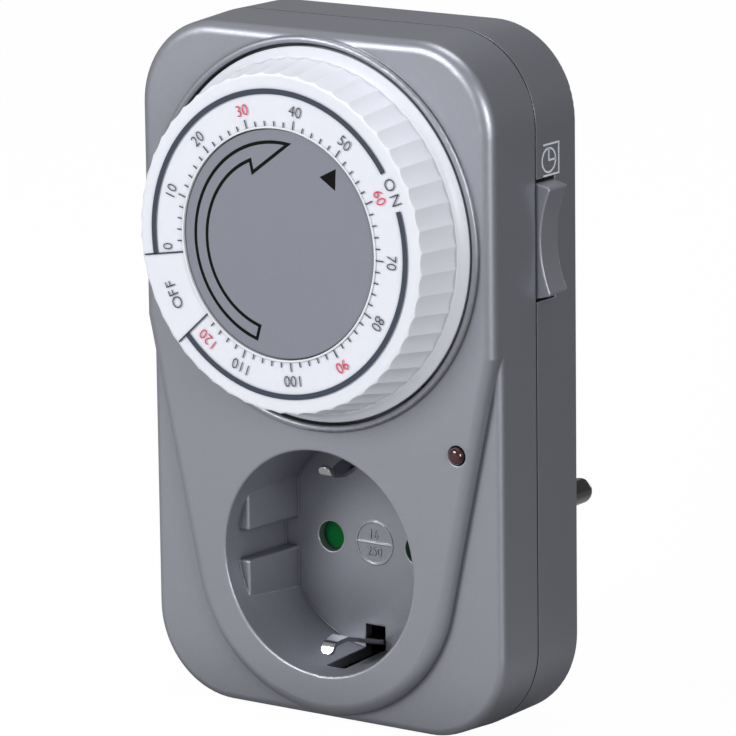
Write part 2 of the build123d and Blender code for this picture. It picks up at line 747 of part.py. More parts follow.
on_hub = hub_radius + shaft_fit
with BuildPart() as clutch_washer:
    ring(hub_shoulder_depth, dial_gear_front, hub_radius + 2.5, on_hub, dial_axis)
save(clutch_washer, "clutch_washer")

with BuildPart() as hub_ring:
    ring(cam_back, hub_ring_back, hub_radius + 1, on_hub, dial_axis)
save(hub_ring, "hub_ring")

# notch of the cam: at the contact spring when the middle of the off sector is at the marker
notch_clock = zero_line - off_sector / 2 + 90 - marker_direction
with BuildPart() as cam_disc:
    ring(dial_gear_back, cam_back, cam_radius, on_hub, dial_axis)
    with BuildSketch(at_depth(cam_back)) as notch:
        with BuildLine() as sector:
            Polyline(
                dial_axis,
                *[toward(2 * cam_radius, notch_clock + turn * off_sector / 2) for turn in (-1, 0, 1)],
                close=True,
            )
        make_face(sector.edges())
        with Locations(dial_axis):
            Circle(cam_radius - cam_notch, mode=Mode.SUBTRACT)
    extrude(notch.sketch, amount=cam_thickness, mode=Mode.SUBTRACT)
save(cam_disc, "cam_disc")


# ---------------------------------------------------------------- gear train
def toothed(depth_front, depth_back, teeth, phase, flank, centre):
    """Spur gear with straight-sided teeth, one of them in the direction phase (degrees from +X)."""
    pitch = gear_module * teeth / 2
    tip, root = pitch + tooth_addendum, pitch - tooth_dedendum
    lean = tan(radians(flank))
    tip_half = (tooth_thickness / 2 - tooth_addendum * lean) / tip
    root_half = (tooth_thickness / 2 + tooth_dedendum * lean) / root
    corners = []
    for tooth in range(teeth):
        middle = radians(phase + 360 * tooth / teeth)
        for radius, turn in ((root, -root_half), (tip, -tip_half), (tip, tip_half), (root, root_half)):
            corners.append((centre[0] + radius * cos(middle + turn),
                            centre[1] + radius * sin(middle + turn)))
    with BuildSketch(at_depth(depth_back)) as section:
        with BuildLine() as outline:
            Polyline(*corners, close=True)
        make_face(outline.edges())
    extrude(section.sketch, amount=depth_back - depth_front)


def direction(start, end):
    """Direction from one axis to another, in degrees from +X."""
    return degrees(atan2(end[1] - start[1], end[0] - start[0]))


def meshing(driver_direction, teeth):
    """Phase that puts a gap of the follower on the driver's tooth."""
    return driver_direction + 180 + 180 / teeth


to_first = direction(second_axis, first_axis)
to_motor = direction(first_axis, motor_axis)

with BuildPart() as dial_gear:
    toothed(dial_gear_front, dial_gear_back, dial_teeth, second_angle, wheel_flank, dial_axis)
    ring(dial_gear_front - 1, dial_gear_back + 1, on_hub, 0, dial_axis, Mode.SUBTRACT)
save(dial_gear, "dial_gear")

with BuildPart() as second_gear:
    ring(arbor_front + 0.1, plate_back, arbor_radius, 0, second_axis)
    toothed(pinion_front, second_wheel_front, dial_pinion_teeth, meshing(second_angle, dial_pinion_teeth),
            pinion_flank, second_axis)
    toothed(second_wheel_front, second_wheel_back, second_teeth, to_first, wheel_flank, second_axis)
    ring(second_wheel_back, plate_depth - body_gap, 2.0, 0, second_axis)
save(second_gear, "second_gear")

with BuildPart() as first_gear:
    ring(arbor_front + 0.1, plate_back, arbor_radius, 0, first_axis)
    ring(pinion_front, second_wheel_front - body_gap, 1.6, 0, first_axis)
    toothed(second_wheel_front - body_gap, first_wheel_front, second_pinion_teeth,
            meshing(to_first, second_pinion_teeth), pinion_flank, first_axis)
    toothed(first_wheel_front, first_wheel_back, first_teeth, to_motor, wheel_flank, first_axis)
    ring(first_wheel_back, plate_depth - 0.15, 2.0, 0, first_axis)
save(first_gear, "first_gear")

with BuildPart() as motor_pinion:
    toothed(first_wheel_front, plate_depth - 0.2, motor_teeth, meshing(to_motor, motor_teeth),
            pinion_flank, motor_axis)
    ring(first_wheel_back, plate_back + 3.0, motor_shaft_radius, 0, motor_axis)
save(motor_pinion, "motor_pinion")

# ---------------------------------------------------------------- motor and movement plate
ear_turn = radians(motor_ear_direction)
motor_screws_at = [
    (motor_axis[0] + reach * cos(ear_turn), motor_axis[1] + reach * sin(ear_turn))
    for reach in (-motor_ear_reach, motor_ear_reach)
]
with BuildPart() as motor:
    ring(plate_back, plate_back + motor_length, motor_radius, 0, motor_axis)
    fillet(motor.faces().sort_by(Axis.Y)[-1].edges(), 0.8)
    for ear in motor_screws_at:
        with BuildSketch(at_depth(plate_back + motor_ear)) as foot:
            with BuildLine() as spine:
                Line(motor_axis, ear)
            trace(spine.edges(), line_width=2 * motor_screw_head_radius + 1.6)
            with Locations(ear):
                Circle(motor_screw_head_radius + 0.8)
        extrude(foot.sketch, amount=motor_ear)
        ring(plate_back - 1, plate_back + 2, motor_screw_radius + 0.15, 0, ear, Mode.SUBTRACT)
    ring(plate_back - 1, plate_back + 3.2, motor_shaft_radius + shaft_fit, 0, motor_axis, Mode.SUBTRACT)
save(motor, "motor")

notch_half = rocker_switch_half + 2.5
block_pins = [(switch_left + 0.35 * switch_width, dial_height + reach)
              for reach in (-block_pin_reach, block_pin_reach)]
with BuildPart() as movement_plate:
    with BuildSketch(at_depth(plate_back)) as flat:
        case_outline(plate_inset)
        with Locations((0, (plate_bottom + plate_top) / 2)):
            Rectangle(2 * case_half_width, plate_top - plate_bottom, mode=Mode.INTERSECT)
        with Locations((case_half_width, rocker_height)):
            Rectangle(2 * (case_half_width - rocker_switch_left + 0.6), 2 * notch_half,
                      mode=Mode.SUBTRACT)
        for x, z in housing_screws:
            with Locations((x, z)):
                Circle(rear_boss_radius + 0.6, mode=Mode.SUBTRACT)
        with Locations(dial_axis):
            Circle(post_radius + shaft_fit, mode=Mode.SUBTRACT)
        with Locations(second_axis, first_axis):
            Circle(arbor_radius + shaft_fit, mode=Mode.SUBTRACT)
        with Locations(motor_axis):
            Circle(post_radius, mode=Mode.SUBTRACT)
        with Locations(*plate_screws):
            Circle(small_screw_radius + 0.15, mode=Mode.SUBTRACT)
        with Locations(*motor_screws_at):
            Circle(motor_screw_radius + screw_fit, mode=Mode.SUBTRACT)
    extrude(flat.sketch, amount=plate_thickness)
    for place in block_pins:
        ring(plate_depth - block_pin_length, plate_depth + 0.1, block_pin_radius, 0, place)
save(movement_plate, "movement_plate")


def screw(head_depth, tip_depth, radius, head_radius, head, place):
    """Pan-head screw driven forwards from the back, with a cross recess."""
    x, z = place
    ring(tip_depth, head_depth, radius, 0, place)
    ring(head_depth, head_depth + head, head_radius, 0, place)
    arm, half = 0.65 * head_radius, 0.12 * head_radius
    for across, up in ((arm, half), (half, arm)):
        block(head_depth + 0.4 * head, head_depth + head + 1, x - across, x + across,
              z - up, z + up, Mode.SUBTRACT)


with BuildPart() as movement_screws:
    for place in plate_screws:
        screw(plate_back, plate_depth - 5.0, small_screw_radius, small_head_radius, small_head, place)
save(movement_screws, "movement_screws")

with BuildPart() as motor_screws:
    for place in motor_screws_at:
        screw(plate_back + motor_ear, plate_depth, motor_screw_radius, motor_screw_head_radius, 1.0, place)
save(motor_screws, "motor_screws")

with BuildPart() as housing_screw_set:
    for place in housing_screws:
        screw(head_pocket_depth, boss_split - screw_bite, screw_radius, screw_head_radius, screw_head, place)
save(housing_screw_set, "housing_screws")

# ---------------------------------------------------------------- spring contact
switch_right = switch_left + switch_width
spring_front_depth = dial_gear_back + 0.4
spring_back_depth = spring_front_depth + spring_width
spring_middle = (spring_front_depth + spring_back_depth) / 2
clamp_low = dial_height - switch_half_height
contact_height = dial_height + contact_rise


def rivet(x_low, x_high):
    """Round contact lying along X at the height of the contacts."""
    start = (x_low, front_y + spring_middle, contact_height)
    with Locations(Plane(origin=start, z_dir=(1, 0, 0))):
        Cylinder(rivet_radius, x_high - x_low, align=(Align.CENTER, Align.CENTER, Align.MIN))


with BuildPart() as switch_block:
    block(switch_front, plate_depth, switch_left, switch_right,
          clamp_low, dial_height + switch_half_height)
    fillet(switch_block.edges().filter_by(Axis.Y), 0.6)
    block(switch_front, plate_depth, spring_face - 0.9, switch_left + 1,
          clamp_low, clamp_low + clamp_height)
    block(spring_front_depth, spring_back_depth, spring_face, spring_back,
          clamp_low + 0.8, dial_height, Mode.SUBTRACT)
    for place in block_pins:
        ring(plate_depth - block_pin_length - 0.2, plate_depth + 1, block_pin_radius + shaft_fit, 0, place,
             Mode.SUBTRACT)
save(switch_block, "switch_block")

with BuildPart() as contact_spring:
    with BuildSketch(at_depth(spring_back_depth)) as side:
        with BuildLine() as blade:
            Polyline(
                (spring_back, clamp_low + 0.8),
                (spring_back, dial_height + spring_top),
                (spring_face, dial_height + spring_top),
                (spring_face, dial_height + 2.2),
                (cam_radius + nose_gap, dial_height + 0.5),
                (cam_radius + nose_gap, dial_height - 0.5),
                (spring_face, dial_height - 2.2),
                (spring_face, clamp_low + 0.8),
                close=True,
            )
        make_face(blade.edges())
    extrude(side.sketch, amount=spring_width)
    rivet(spring_back - 0.1, spring_back + rivet_height)
save(contact_spring, "contact_spring")

with BuildPart() as fixed_contact:
    rivet(spring_back + rivet_height, switch_left)
save(fixed_contact, "fixed_contact")

for side, use in ((-1, "live"), (1, "load")):
    middle = dial_height + side * terminal_drop
    with BuildPart() as terminal:
        block(terminal_depth, terminal_depth + terminal_thickness,
              switch_right, switch_right + terminal_length,
              middle - terminal_width / 2, middle + terminal_width / 2)
    save(terminal, f"switch_terminal_{use}")
    with BuildPart() as link:
        link_x = switch_right + 0.6 * terminal_length
        block(terminal_depth + terminal_thickness, plate_depth,
              link_x - link_width / 2, link_x + link_width / 2,
              middle - terminal_thickness / 2, middle + terminal_thickness / 2)
    save(link, f"rocker_link_{use}")

# ---------------------------------------------------------------- manual override rocker
rocker_front = parting_depth + rocker_gap
rocker_back = rocker_front + rocker_width
rocker_pin_end = rocker_back + rocker_pin_bite
stem_front = rocker_front + rocker_cheek + body_gap
stem_back = rocker_back - rocker_cheek - body_gap
rocker_pivot = (rocker_pivot_x, rocker_height)
horn_x = case_half_width + rocker_horn
flank_x = case_half_width - rocker_sink

with BuildPart() as rocker:
    with BuildSketch(at_depth(rocker_back)) as side:
        with BuildLine() as outline:
            lower_horn = (horn_x, rocker_height - rocker_tip_half)
            upper_horn = (horn_x, rocker_height + rocker_tip_half)
            ThreePointArc(lower_horn, (case_half_width + rocker_waist, rocker_height), upper_horn)
            Polyline(
                upper_horn,
                (case_half_width, rocker_height + rocker_half_height),
                (flank_x, rocker_height + rocker_half_height),
                (rocker_pivot_x + rocker_apex, rocker_height),
                (flank_x, rocker_height - rocker_half_height),
                (case_half_width, rocker_height - rocker_half_height),
                lower_horn,
            )
        make_face(outline.edges())
    extrude(side.sketch, amount=rocker_width)
    fillet(rocker.edges().filter_by(Axis.Y).sort_by(Axis.X)[-2:], 0.5)
    fillet(rocker.faces().sort_by(Axis.X)[-1].edges(), 0.2)
    with BuildSketch(at_depth(stem_back)) as stem:
        with Locations(rocker_pivot):
            Circle(rocker_pin_radius + stem_wall)
        for reach, height in ((stem_length / 2, stem_height), (-stem_length / 2, finger_height)):
            with Locations((rocker_pivot_x + reach, rocker_height)):
                Rectangle(stem_length, height)
    extrude(stem.sketch, amount=stem_back - stem_front)
    ring(rocker_front, rocker_back, rocker_pin_radius + shaft_fit, 0, rocker_pivot, Mode.SUBTRACT)
save(rocker, "rocker")

with BuildPart() as rocker_pin:
    ring(rocker_front + body_gap, rocker_pin_end, rocker_pin_radius, 0, rocker_pivot)
save(rocker_pin, "rocker_pin")

with BuildPart() as rocker_switch:
    block(plate_depth, back_wall, rocker_switch_left, rocker_switch_right,
          rocker_height - rocker_switch_half, rocker_height + rocker_switch_half)
    fillet(rocker_switch.edges().filter_by(Axis.Y), 0.5)
    block(stem_front - body_gap, stem_back + body_gap,
          rocker_pivot_x - stem_length - finger_room, case_half_width,
          rocker_height - rocker_room, rocker_height + rocker_room, Mode.SUBTRACT)
    ring(plate_depth - 1, rocker_pin_end, rocker_pin_radius, 0, rocker_pivot, Mode.SUBTRACT)
save(rocker_switch, "rocker_switch")

# ---------------------------------------------------------------- shutter and contacts
shutter_front = cup_back + body_gap
shutter_back = shutter_front + shutter_thickness
with BuildPart() as shutter:
    with BuildSketch(at_depth(shutter_back)) as leaf:
        far, up = 2 * shutter_reach, 2 * shutter_reach * tan(radians(shutter_half_angle))
        for side in (-1, 1):
            with BuildLine() as wedge:
                Polyline((0, 0), (side * far, up), (side * far, -up), close=True)
            make_face(wedge.edges())
        Circle(shutter_reach, mode=Mode.INTERSECT)
        Circle(shutter_hub_radius)
        Circle(pivot_radius + shaft_fit, mode=Mode.SUBTRACT)
    extrude(leaf.sketch, amount=shutter_thickness)
save(shutter, "shutter")

recess_floor = carrier_back - 1.2
tube_end = socket_depth + pin_length - 0.1
with BuildPart() as contact_carrier:
    ring(carrier_front, carrier_back, carrier_radius, 0, (0, 0))
    ring(carrier_front - 1, recess_floor, spring_radius + 1.6, 0, (0, 0), Mode.SUBTRACT)
    ring(shutter_front, recess_floor + 0.5, pivot_radius, 0, (0, 0))
    for side in (-1, 1):
        low, high = sorted((side * (plug_strip_height - clip_thickness), side * (carrier_radius + 1)))
        block(carrier_front - 1, carrier_back + 1, -clip_width / 2 - 0.4, clip_width / 2 + 0.4,
              low, high, Mode.SUBTRACT)
        ring(carrier_back - 1, tube_end, tube_radius, 0, (side * pin_x, 0))
        ring(carrier_front - 1, tube_end + 1, tube_bore, 0, (side * pin_x, 0), Mode.SUBTRACT)
        for up in (-1, 1):
            ring(cup_back, plinth_wall, carrier_foot_radius, 0, (side * carrier_foot, up * carrier_foot))
save(contact_carrier, "contact_carrier")

with BuildPart() as shutter_spring:
    pitch = 2 * spring_wire + 0.1
    with BuildLine() as coil:
        Helix(pitch, spring_turns * pitch, spring_radius,
              center=(0, front_y + shutter_back + body_gap + spring_wire, 0), direction=(0, 1, 0))
    with BuildSketch(Plane(origin=coil.line @ 0, z_dir=coil.line % 0)) as wire_end:
        Circle(spring_wire)
    sweep(wire_end.sketch, coil.line)
save(shutter_spring, "shutter_spring")

contact_front = carrier_front + contact_inset
contact_end = socket_depth + pin_length + 0.5
for side, use in ((-1, "neutral"), (1, "live")):
    x = side * pin_x
    tail_end = stub_front if use == "neutral" else contact_end + contact_disc + 1.9
    with BuildPart() as contact:
        ring(contact_front, contact_end + contact_disc, contact_radius, 0, (x, 0))
        ring(tube_end, contact_end + contact_disc, tube_bore + 0.4, 0, (x, 0))
        ring(contact_front - 1, contact_end, contact_bore, 0, (x, 0), Mode.SUBTRACT)
        for across, up in ((contact_radius + 1, contact_slit), (contact_slit, contact_radius + 1)):
            block(contact_front - 1, contact_front + contact_slit_length, x - across, x + across,
                  -up, up, Mode.SUBTRACT)
        block(contact_end + 0.1, tail_end, x - 1.2, x + 1.2, -tail_half, tail_half)
    save(contact, f"{use}_contact")

# ---------------------------------------------------------------- lamp
with BuildPart() as lamp:
    ring(-lamp_proud, lamp_board_front - 0.7, lamp_radius, 0, (lamp_x, lamp_z))
    fillet(lamp.faces().sort_by(Axis.Y)[0].edges(), lamp_proud)
    ring(wall, wall + 0.8, lamp_flange_radius, 0, (lamp_x, lamp_z))
    for side in (-1, 1):
        ring(lamp_board_front - 1, lamp_board_back + 0.5, lamp_leg_radius, 0,
             (lamp_x + side * lamp_leg, lamp_z))
save(lamp, "lamp")

resistor_low, resistor_high = lamp_z - 3.0, lamp_z + 3.0
with BuildPart() as lamp_board:
    block(lamp_board_front, lamp_board_back, lamp_board_left, lamp_board_right,
          lamp_board_low, lamp_board_high)
    for x, z in lamp_posts:
        ring(wall, lamp_board_back + 1, lamp_stake_radius + screw_fit, 0, (x, z), Mode.SUBTRACT)
    for side in (-1, 1):
        ring(wall, lamp_board_back + 1, lamp_leg_radius + 0.1, 0,
             (lamp_x + side * lamp_leg, lamp_z), Mode.SUBTRACT)
save(lamp_board, "lamp_board")

resistor_axis = lamp_board_back + resistor_radius
with BuildPart() as dropper_resistor:
    with Locations(Plane(origin=(resistor_x, front_y + resistor_axis, resistor_low), z_dir=(0, 0, 1))):
        Cylinder(resistor_radius, resistor_high - resistor_low, align=(Align.CENTER, Align.CENTER, Align.MIN))
    fillet(dropper_resistor.edges().filter_by(GeomType.CIRCLE), 0.4)
    with BuildLine() as legs:
        FilletPolyline(
            (resistor_x, front_y + lamp_board_back, resistor_low - 1.2),
            (resistor_x, front_y + resistor_axis, resistor_low - 1.2),
            (resistor_x, front_y + resistor_axis, resistor_high + 1.2),
            (resistor_x, front_y + lamp_board_back, resistor_high + 1.2),
            radius=0.6,
        )
    with BuildSketch(Plane(origin=legs.line @ 0, z_dir=legs.line % 0)) as leg:
        Circle(lamp_leg_radius)
    sweep(leg.sketch, legs.line)
save(dropper_resistor, "dropper_resistor")

# ---------------------------------------------------------------- wiring
lead_depth = terminal_depth + terminal_thickness / 2
behind = back_wall - 1.9                 # leads that pass behind the carrier plate and the movement
side_x = case_half_width - wall - 2.9
under = -(tube_radius + 3.6)
over = tube_radius + 1.9
beyond = carrier_back + 3.0
cavity_top = carrier_radius + 0.1
load_height = dial_height + terminal_drop
live_height = dial_height - terminal_drop
tail_middle = contact_end + contact_disc + 1.2
load_top = rocker_height + rocker_switch_half + 1.7
lead_shift = 5.5                         # where the live lead rises beside the contact block
lead_drop = 7.6                          # and turns below the live terminal
lamp_tap = lamp_board_right - 3.4         # where the live lead of the lamp leaves the board
loop_x = switch_right + terminal_length / 2
lamp_lead_height = lamp_board_high - 1.4
neutral_rise = tube_end + 3.4
motor_side = motor_axis[0] + sqrt(motor_radius**2 - (motor_axis[1] - load_top) ** 2) + solder_gap
motor_low = motor_axis[1] - sqrt(motor_radius**2 - (motor_axis[0] + pin_x) ** 2) - solder_gap
routes = {
    "live_lead": (mains_wire, [
        (pin_x, stub_front, 0), (pin_x, stub_front - 1.7, 0), (pin_x, stub_front - 1.7, over),
        (pin_x, beyond, over), (pin_x, beyond, cavity_top), (pin_x, behind, cavity_top),
        (pin_x, behind, plate_bottom - 4), (pin_x, lead_depth, plate_bottom - 4),
        (switch_left + lead_shift, lead_depth, plate_bottom - 4),
        (switch_left + lead_shift, lead_depth, live_height - lead_drop),
        (loop_x, lead_depth, live_height - lead_drop),
        (loop_x, lead_depth, live_height - terminal_width / 2)]),
    "switched_lead": (mains_wire, [
        (switch_right + terminal_length, lead_depth, load_height), (side_x, lead_depth, load_height),
        (side_x, lead_depth, under), (side_x, behind, under), (carrier_radius + 0.2, behind, under),
        (carrier_radius + 0.2, beyond, under), (pin_x, beyond, under),
        (pin_x, tail_middle, under), (pin_x, tail_middle, -tail_half)]),
    "motor_lead_live": (thin_wire, [
        (loop_x, lead_depth, load_height + terminal_width / 2), (loop_x, lead_depth, load_top),
        (loop_x, plate_back + 4.4, load_top), (motor_side, plate_back + 4.4, load_top)]),
    "motor_lead_neutral": (thin_wire, [
        (-pin_x, behind, motor_low), (-pin_x, behind, cavity_top), (-pin_x, beyond, cavity_top),
        (-pin_x, beyond, over), (-pin_x, neutral_rise, over), (-pin_x, neutral_rise, tail_half)]),
    "lamp_lead_live": (lamp_wire, [
        (lamp_tap, lamp_board_back, lamp_z + 0.7), (lamp_tap, lead_depth, lamp_z + 0.7),
        (side_x - mains_wire, lead_depth, lamp_z + 0.7)]),
    "lamp_lead_neutral": (lamp_wire, [
        (lamp_board_left + 1.2, lamp_board_back, lamp_lead_height),
        (lamp_board_left + 1.2, behind, lamp_lead_height),
        (thin_wire - pin_x, behind, lamp_lead_height)]),
}
for name, (radius, route) in routes.items():
    with BuildPart() as lead:
        with BuildLine() as run:
            FilletPolyline([(x, front_y + depth, z) for x, depth, z in route], radius=2 * radius)
        with BuildSketch(Plane(origin=run.line @ 0, z_dir=run.line % 0)) as end:
            Circle(radius)
        sweep(end.sketch, run.line)
    save(lead, name)
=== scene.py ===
from math import cos, radians, sin

import bmesh
import bpy
import numpy as np
from bpy.props import FloatProperty, FloatVectorProperty, PointerProperty
from mathutils import Matrix, Vector


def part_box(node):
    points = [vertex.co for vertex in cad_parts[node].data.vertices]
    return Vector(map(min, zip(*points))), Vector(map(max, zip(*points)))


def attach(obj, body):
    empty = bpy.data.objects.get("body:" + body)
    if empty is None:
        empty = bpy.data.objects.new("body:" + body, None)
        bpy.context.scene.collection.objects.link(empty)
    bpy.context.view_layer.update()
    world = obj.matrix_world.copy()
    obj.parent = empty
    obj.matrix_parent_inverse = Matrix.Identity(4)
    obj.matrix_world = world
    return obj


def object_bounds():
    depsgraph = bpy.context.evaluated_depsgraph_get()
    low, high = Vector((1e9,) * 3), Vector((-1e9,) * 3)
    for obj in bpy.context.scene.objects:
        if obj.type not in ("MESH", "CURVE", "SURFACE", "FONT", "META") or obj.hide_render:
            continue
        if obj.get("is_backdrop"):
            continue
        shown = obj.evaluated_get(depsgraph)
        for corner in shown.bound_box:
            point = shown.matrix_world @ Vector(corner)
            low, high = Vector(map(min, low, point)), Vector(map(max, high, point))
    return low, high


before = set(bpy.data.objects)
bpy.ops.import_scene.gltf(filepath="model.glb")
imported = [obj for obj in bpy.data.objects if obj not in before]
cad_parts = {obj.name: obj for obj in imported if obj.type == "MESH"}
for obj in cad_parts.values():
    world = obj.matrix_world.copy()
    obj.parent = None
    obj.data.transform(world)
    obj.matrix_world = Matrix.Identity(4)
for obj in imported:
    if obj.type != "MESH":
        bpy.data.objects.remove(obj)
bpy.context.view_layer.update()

bl_info = {
    "name": "Plug-in Timer Switch",
    "version": (1, 0, 0),
    "blender": (4, 5, 0),
    "location": "3D View > Sidebar > Timer",
    "description": "Prints, finishes and stage of a two hour plug-in timer switch",
    "category": "Object",
}

DIAL_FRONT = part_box("dial_knob")[0].y
DISC_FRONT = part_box("marker_disc")[0].y
DIAL_AXIS = 0.0591
SIDE_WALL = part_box("rear_housing")[1].x
CASE_FRONT = -0.0532
SEAM = CASE_FRONT + 0.0127      # where the two shells of the case part
SEAM_GAP = 0.00025              # how far apart they stand there
PAINTED_SHADE = (0.02, 0.02, 0.022, 1)   # colour of the painted shade in narrow gaps and recesses
CAPITAL_SHARE = 0.73            # a capital's height as a share of the font's size


def length(name, description, default):
    return FloatProperty(name=name, description=description, default=default,
                         unit="LENGTH", precision=5)


def angle(name, description, degrees):
    return FloatProperty(name=name, description=description, default=radians(degrees),
                         subtype="ANGLE")


def plain(name, description, default):
    return FloatProperty(name=name, description=description, default=default)


def colour(name, description, red, green, blue):
    """A colour picker whose default is given in display values from 0 to 255."""
    shown = np.array([red, green, blue]) / 255
    linear = np.where(shown <= 0.04045, shown / 12.92, ((shown + 0.055) / 1.055) ** 2.4)
    return FloatVectorProperty(name=name, description=description, subtype="COLOR", size=3,
                               min=0, max=1, default=tuple(linear.tolist()))


# ---------------------------------------------------------------- settings
class DialPrint(bpy.types.PropertyGroup):
    ink: length("Ink height", "How far a print stands on its surface", 0.00002)
    ring_radius: length("Ring radius", "Middle of the dark ring", 0.0268)
    ring_width: length("Ring width", "Width of the dark ring", 0.00095)
    gap_start: angle("Gap start", "Where the ring stops before ON, clockwise from the top", 56.8)
    gap_end: angle("Gap end", "Where the ring goes on after ON", 71.9)
    zero: angle("Zero line", "Where the scale starts, clockwise from the top", 260.8)
    end: angle("End line", "Where the scale ends, a turn later than it is seen", 588.0)
    tick_foot: length("Tick foot", "Radius where the minute strokes start", 0.02074)
    tick_short: length("Short tick", "Radius where the two minute strokes end", 0.02166)
    tick_long: length("Long tick", "Radius where the ten minute strokes end", 0.02232)
    tick_width: length("Tick width", "Width of the minute strokes", 0.00021)
    line_end: length("Line end", "Radius where the lines beside OFF end", 0.0293)
    line_width: length("Line width", "Width of the lines beside OFF", 0.00028)
    figure_radius: length("Figure radius", "Middle of the figures", 0.02400)
    figure_height: length("Figure height", "Height of the figures", 0.00208)


class DiscPrint(bpy.types.PropertyGroup):
    outer: length("Outer radius", "Outer arc of the turning arrow", 0.0179)
    inner: length("Inner radius", "Inner arc of the turning arrow", 0.01545)
    tail: angle("Tail", "Where the arrow starts, clockwise from the top", 196.2)
    notch: angle("Notch", "Where the inner arc meets the head", 337.8)
    tip: angle("Tip", "Where the arrow ends", 367.2)
    barb_radius: length("Barb radius", "Radius of the inner corner of the head", 0.0133)
    stroke: length("Stroke", "Width of the arrow's line", 0.00060)


class SmallMarks(bpy.types.PropertyGroup):
    clock_depth: length("Clock depth", "Middle of the clock sign behind the case front", 0.0170)
    clock_height: length("Clock height", "Middle of the clock sign above the plug axis", 0.0733)
    clock_radius: length("Clock radius", "Radius of the clock sign", 0.0021)
    sign_stroke: length("Stroke", "Width of the sign's line", 0.00034)
    floor_depth: length("Floor depth", "Socket floor behind the case front", 0.0175)
    floor_height: length("Floor figure height", "Height of the raised figures", 0.00185)
    floor_relief: length("Floor relief", "How far the raised figures stand out", 0.00012)


class Finishes(bpy.types.PropertyGroup):
    silver: colour("Silver", "Silver-grey lacquer of the case", 164, 166, 176)
    # the case's silver made lighter for the rocker, as painted light
    rocker: colour("Rocker", "Silver-grey lacquer of the rocker", 173, 175, 184)
    fleck: colour("Fleck", "Metal flecks in the lacquer", 196, 198, 204)
    # colour of the painted highlight on the case's edges
    edge: colour("Edge", "Bright edges of the lacquered case", 222, 225, 230)
    disc: colour("Disc", "Grey of the fixed disc", 137, 140, 151)
    white: colour("White", "White moulding of the dial", 234, 236, 246)
    dark: colour("Dark print", "Ring and dark figures", 70, 76, 90)
    red: colour("Red print", "Every third figure", 226, 44, 80)
    black: colour("Black print", "Arrow and pointer", 9, 9, 7)
    sign: colour("Sign", "Pale print on the side", 226, 230, 236)
    acetal: colour("Acetal", "Gears and cam", 226, 222, 208)
    green: colour("Shutter", "Green shutter", 0, 112, 48)
    carrier: colour("Carrier", "Dark insulating plastic", 48, 48, 51)
    brass: colour("Brass", "Brass strip", 201, 168, 98)
    nickel: colour("Nickel", "Nickel plate", 220, 221, 222)
    zinc: colour("Zinc", "Zinc-plated sheet", 176, 180, 184)
    lens: colour("Lens", "Dark red lamp", 58, 8, 20)
    board: colour("Board", "Phenolic board", 150, 108, 60)
    resistor: colour("Resistor", "Lacquered resistor body", 196, 172, 128)
    brown: colour("Brown wire", "Insulation of the live leads", 96, 54, 30)
    blue: colour("Blue wire", "Insulation of the neutral leads", 38, 92, 170)


class Stage(bpy.types.PropertyGroup):
    azimuth: angle("Camera azimuth", "Camera's side, from in front towards the right", 35.26)
    elevation: angle("Camera elevation", "Camera's height angle", 12.41)
    roll: angle("Camera roll", "Camera's tilt", -0.725)
    distance: length("Distance", "From the aim point to the camera", 0.97542)
    slide: length("Slide", "Camera moved to its right", 0.00069)
    rise: length("Rise", "Camera moved up", -0.00238)
    lens: plain("Lens", "Focal length in millimetres on a 36 mm sensor", 36 * 5500 / 736)
    key: plain("Key", "Watts of the key softbox", 7.3)
    top: plain("Top", "Watts of the top softbox", 2.6)
    fill: plain("Fill", "Watts of the fill softbox", 5.6)
    back: plain("Back", "Watts of the back softbox", 1.3)
    world: plain("World", "Strength of the even light", 0.3)


# ---------------------------------------------------------------- surfaces
def plane(origin, right, up):
    """A drawing plane: point = origin + u right + v up + h out, where out is right x up."""
    right, up = Vector(right), Vector(up)
    place = Matrix((right, up, right.cross(up))).transposed().to_4x4()
    place.translation = origin
    return place


def clock(turn, radius):
    """Flat points at angles clockwise from the top, in radians: u = r sin(a), v = r cos(a)."""
    turn = np.asarray(turn, float)
    return np.stack([radius * np.sin(turn), radius * np.cos(turn)], axis=-1)


def unit(rows):
    """Each row divided by its length."""
    return rows / np.linalg.norm(rows, axis=1, keepdims=True)


def stroke(line, width, low, high, closed=False):
    """A bar of rectangular section carried along a flat line: each point p gives p +- n w/2 at both
    heights, where n is the normal of the mean direction divided by the cosine of half the turn."""
    line = np.asarray(line, float)
    if closed:
        after = np.roll(line, -1, axis=0) - line
        before = np.roll(after, 1, axis=0)
    else:
        runs = np.diff(line, axis=0)
        before, after = np.vstack([runs[:1], runs]), np.vstack([runs, runs[-1:]])
    before, after = unit(before), unit(after)
    mean = unit(before + after)
    normal = np.column_stack([-mean[:, 1], mean[:, 0]]) / np.sum(mean * after, axis=1)[:, None]
    side = np.array([1, -1, -1, 1])[None, :, None] * normal[:, None, :] * width / 2
    flat = line[:, None, :] + side
    heights = np.array([low, low, high, high])[None, :, None]
    heights = np.broadcast_to(heights, flat.shape[:2] + (1,))
    points = np.concatenate([flat, heights], axis=2).reshape(-1, 3)
    count = len(line)
    here = np.arange(count if closed else count - 1)[:, None]
    ahead = (here + 1) % count
    corner = np.arange(4)[None, :]
    beside = (corner + 1) % 4
    faces = np.stack([here * 4 + beside, here * 4 + corner, ahead * 4 + corner, ahead * 4 + beside],
                     axis=-1).reshape(-1, 4)
    if not closed:
        last = (count - 1) * 4
        faces = np.vstack([faces, [0, 1, 2, 3], [last + 3, last + 2, last + 1, last]])
    return points, faces.tolist()


def patch(outline, low, high):
    """A flat polygon, counter-clockwise, given a thickness between two heights."""
    outline = np.asarray(outline, float)
    count = len(outline)
    points = np.vstack([np.column_stack([outline, np.full(count, h)]) for h in (low, high)])
    here = np.arange(count)
    after = (here + 1) % count
    sides = np.column_stack([here, after, after + count, here + count]).tolist()
    return points, sides + [list(here[::-1]), list(here + count)]


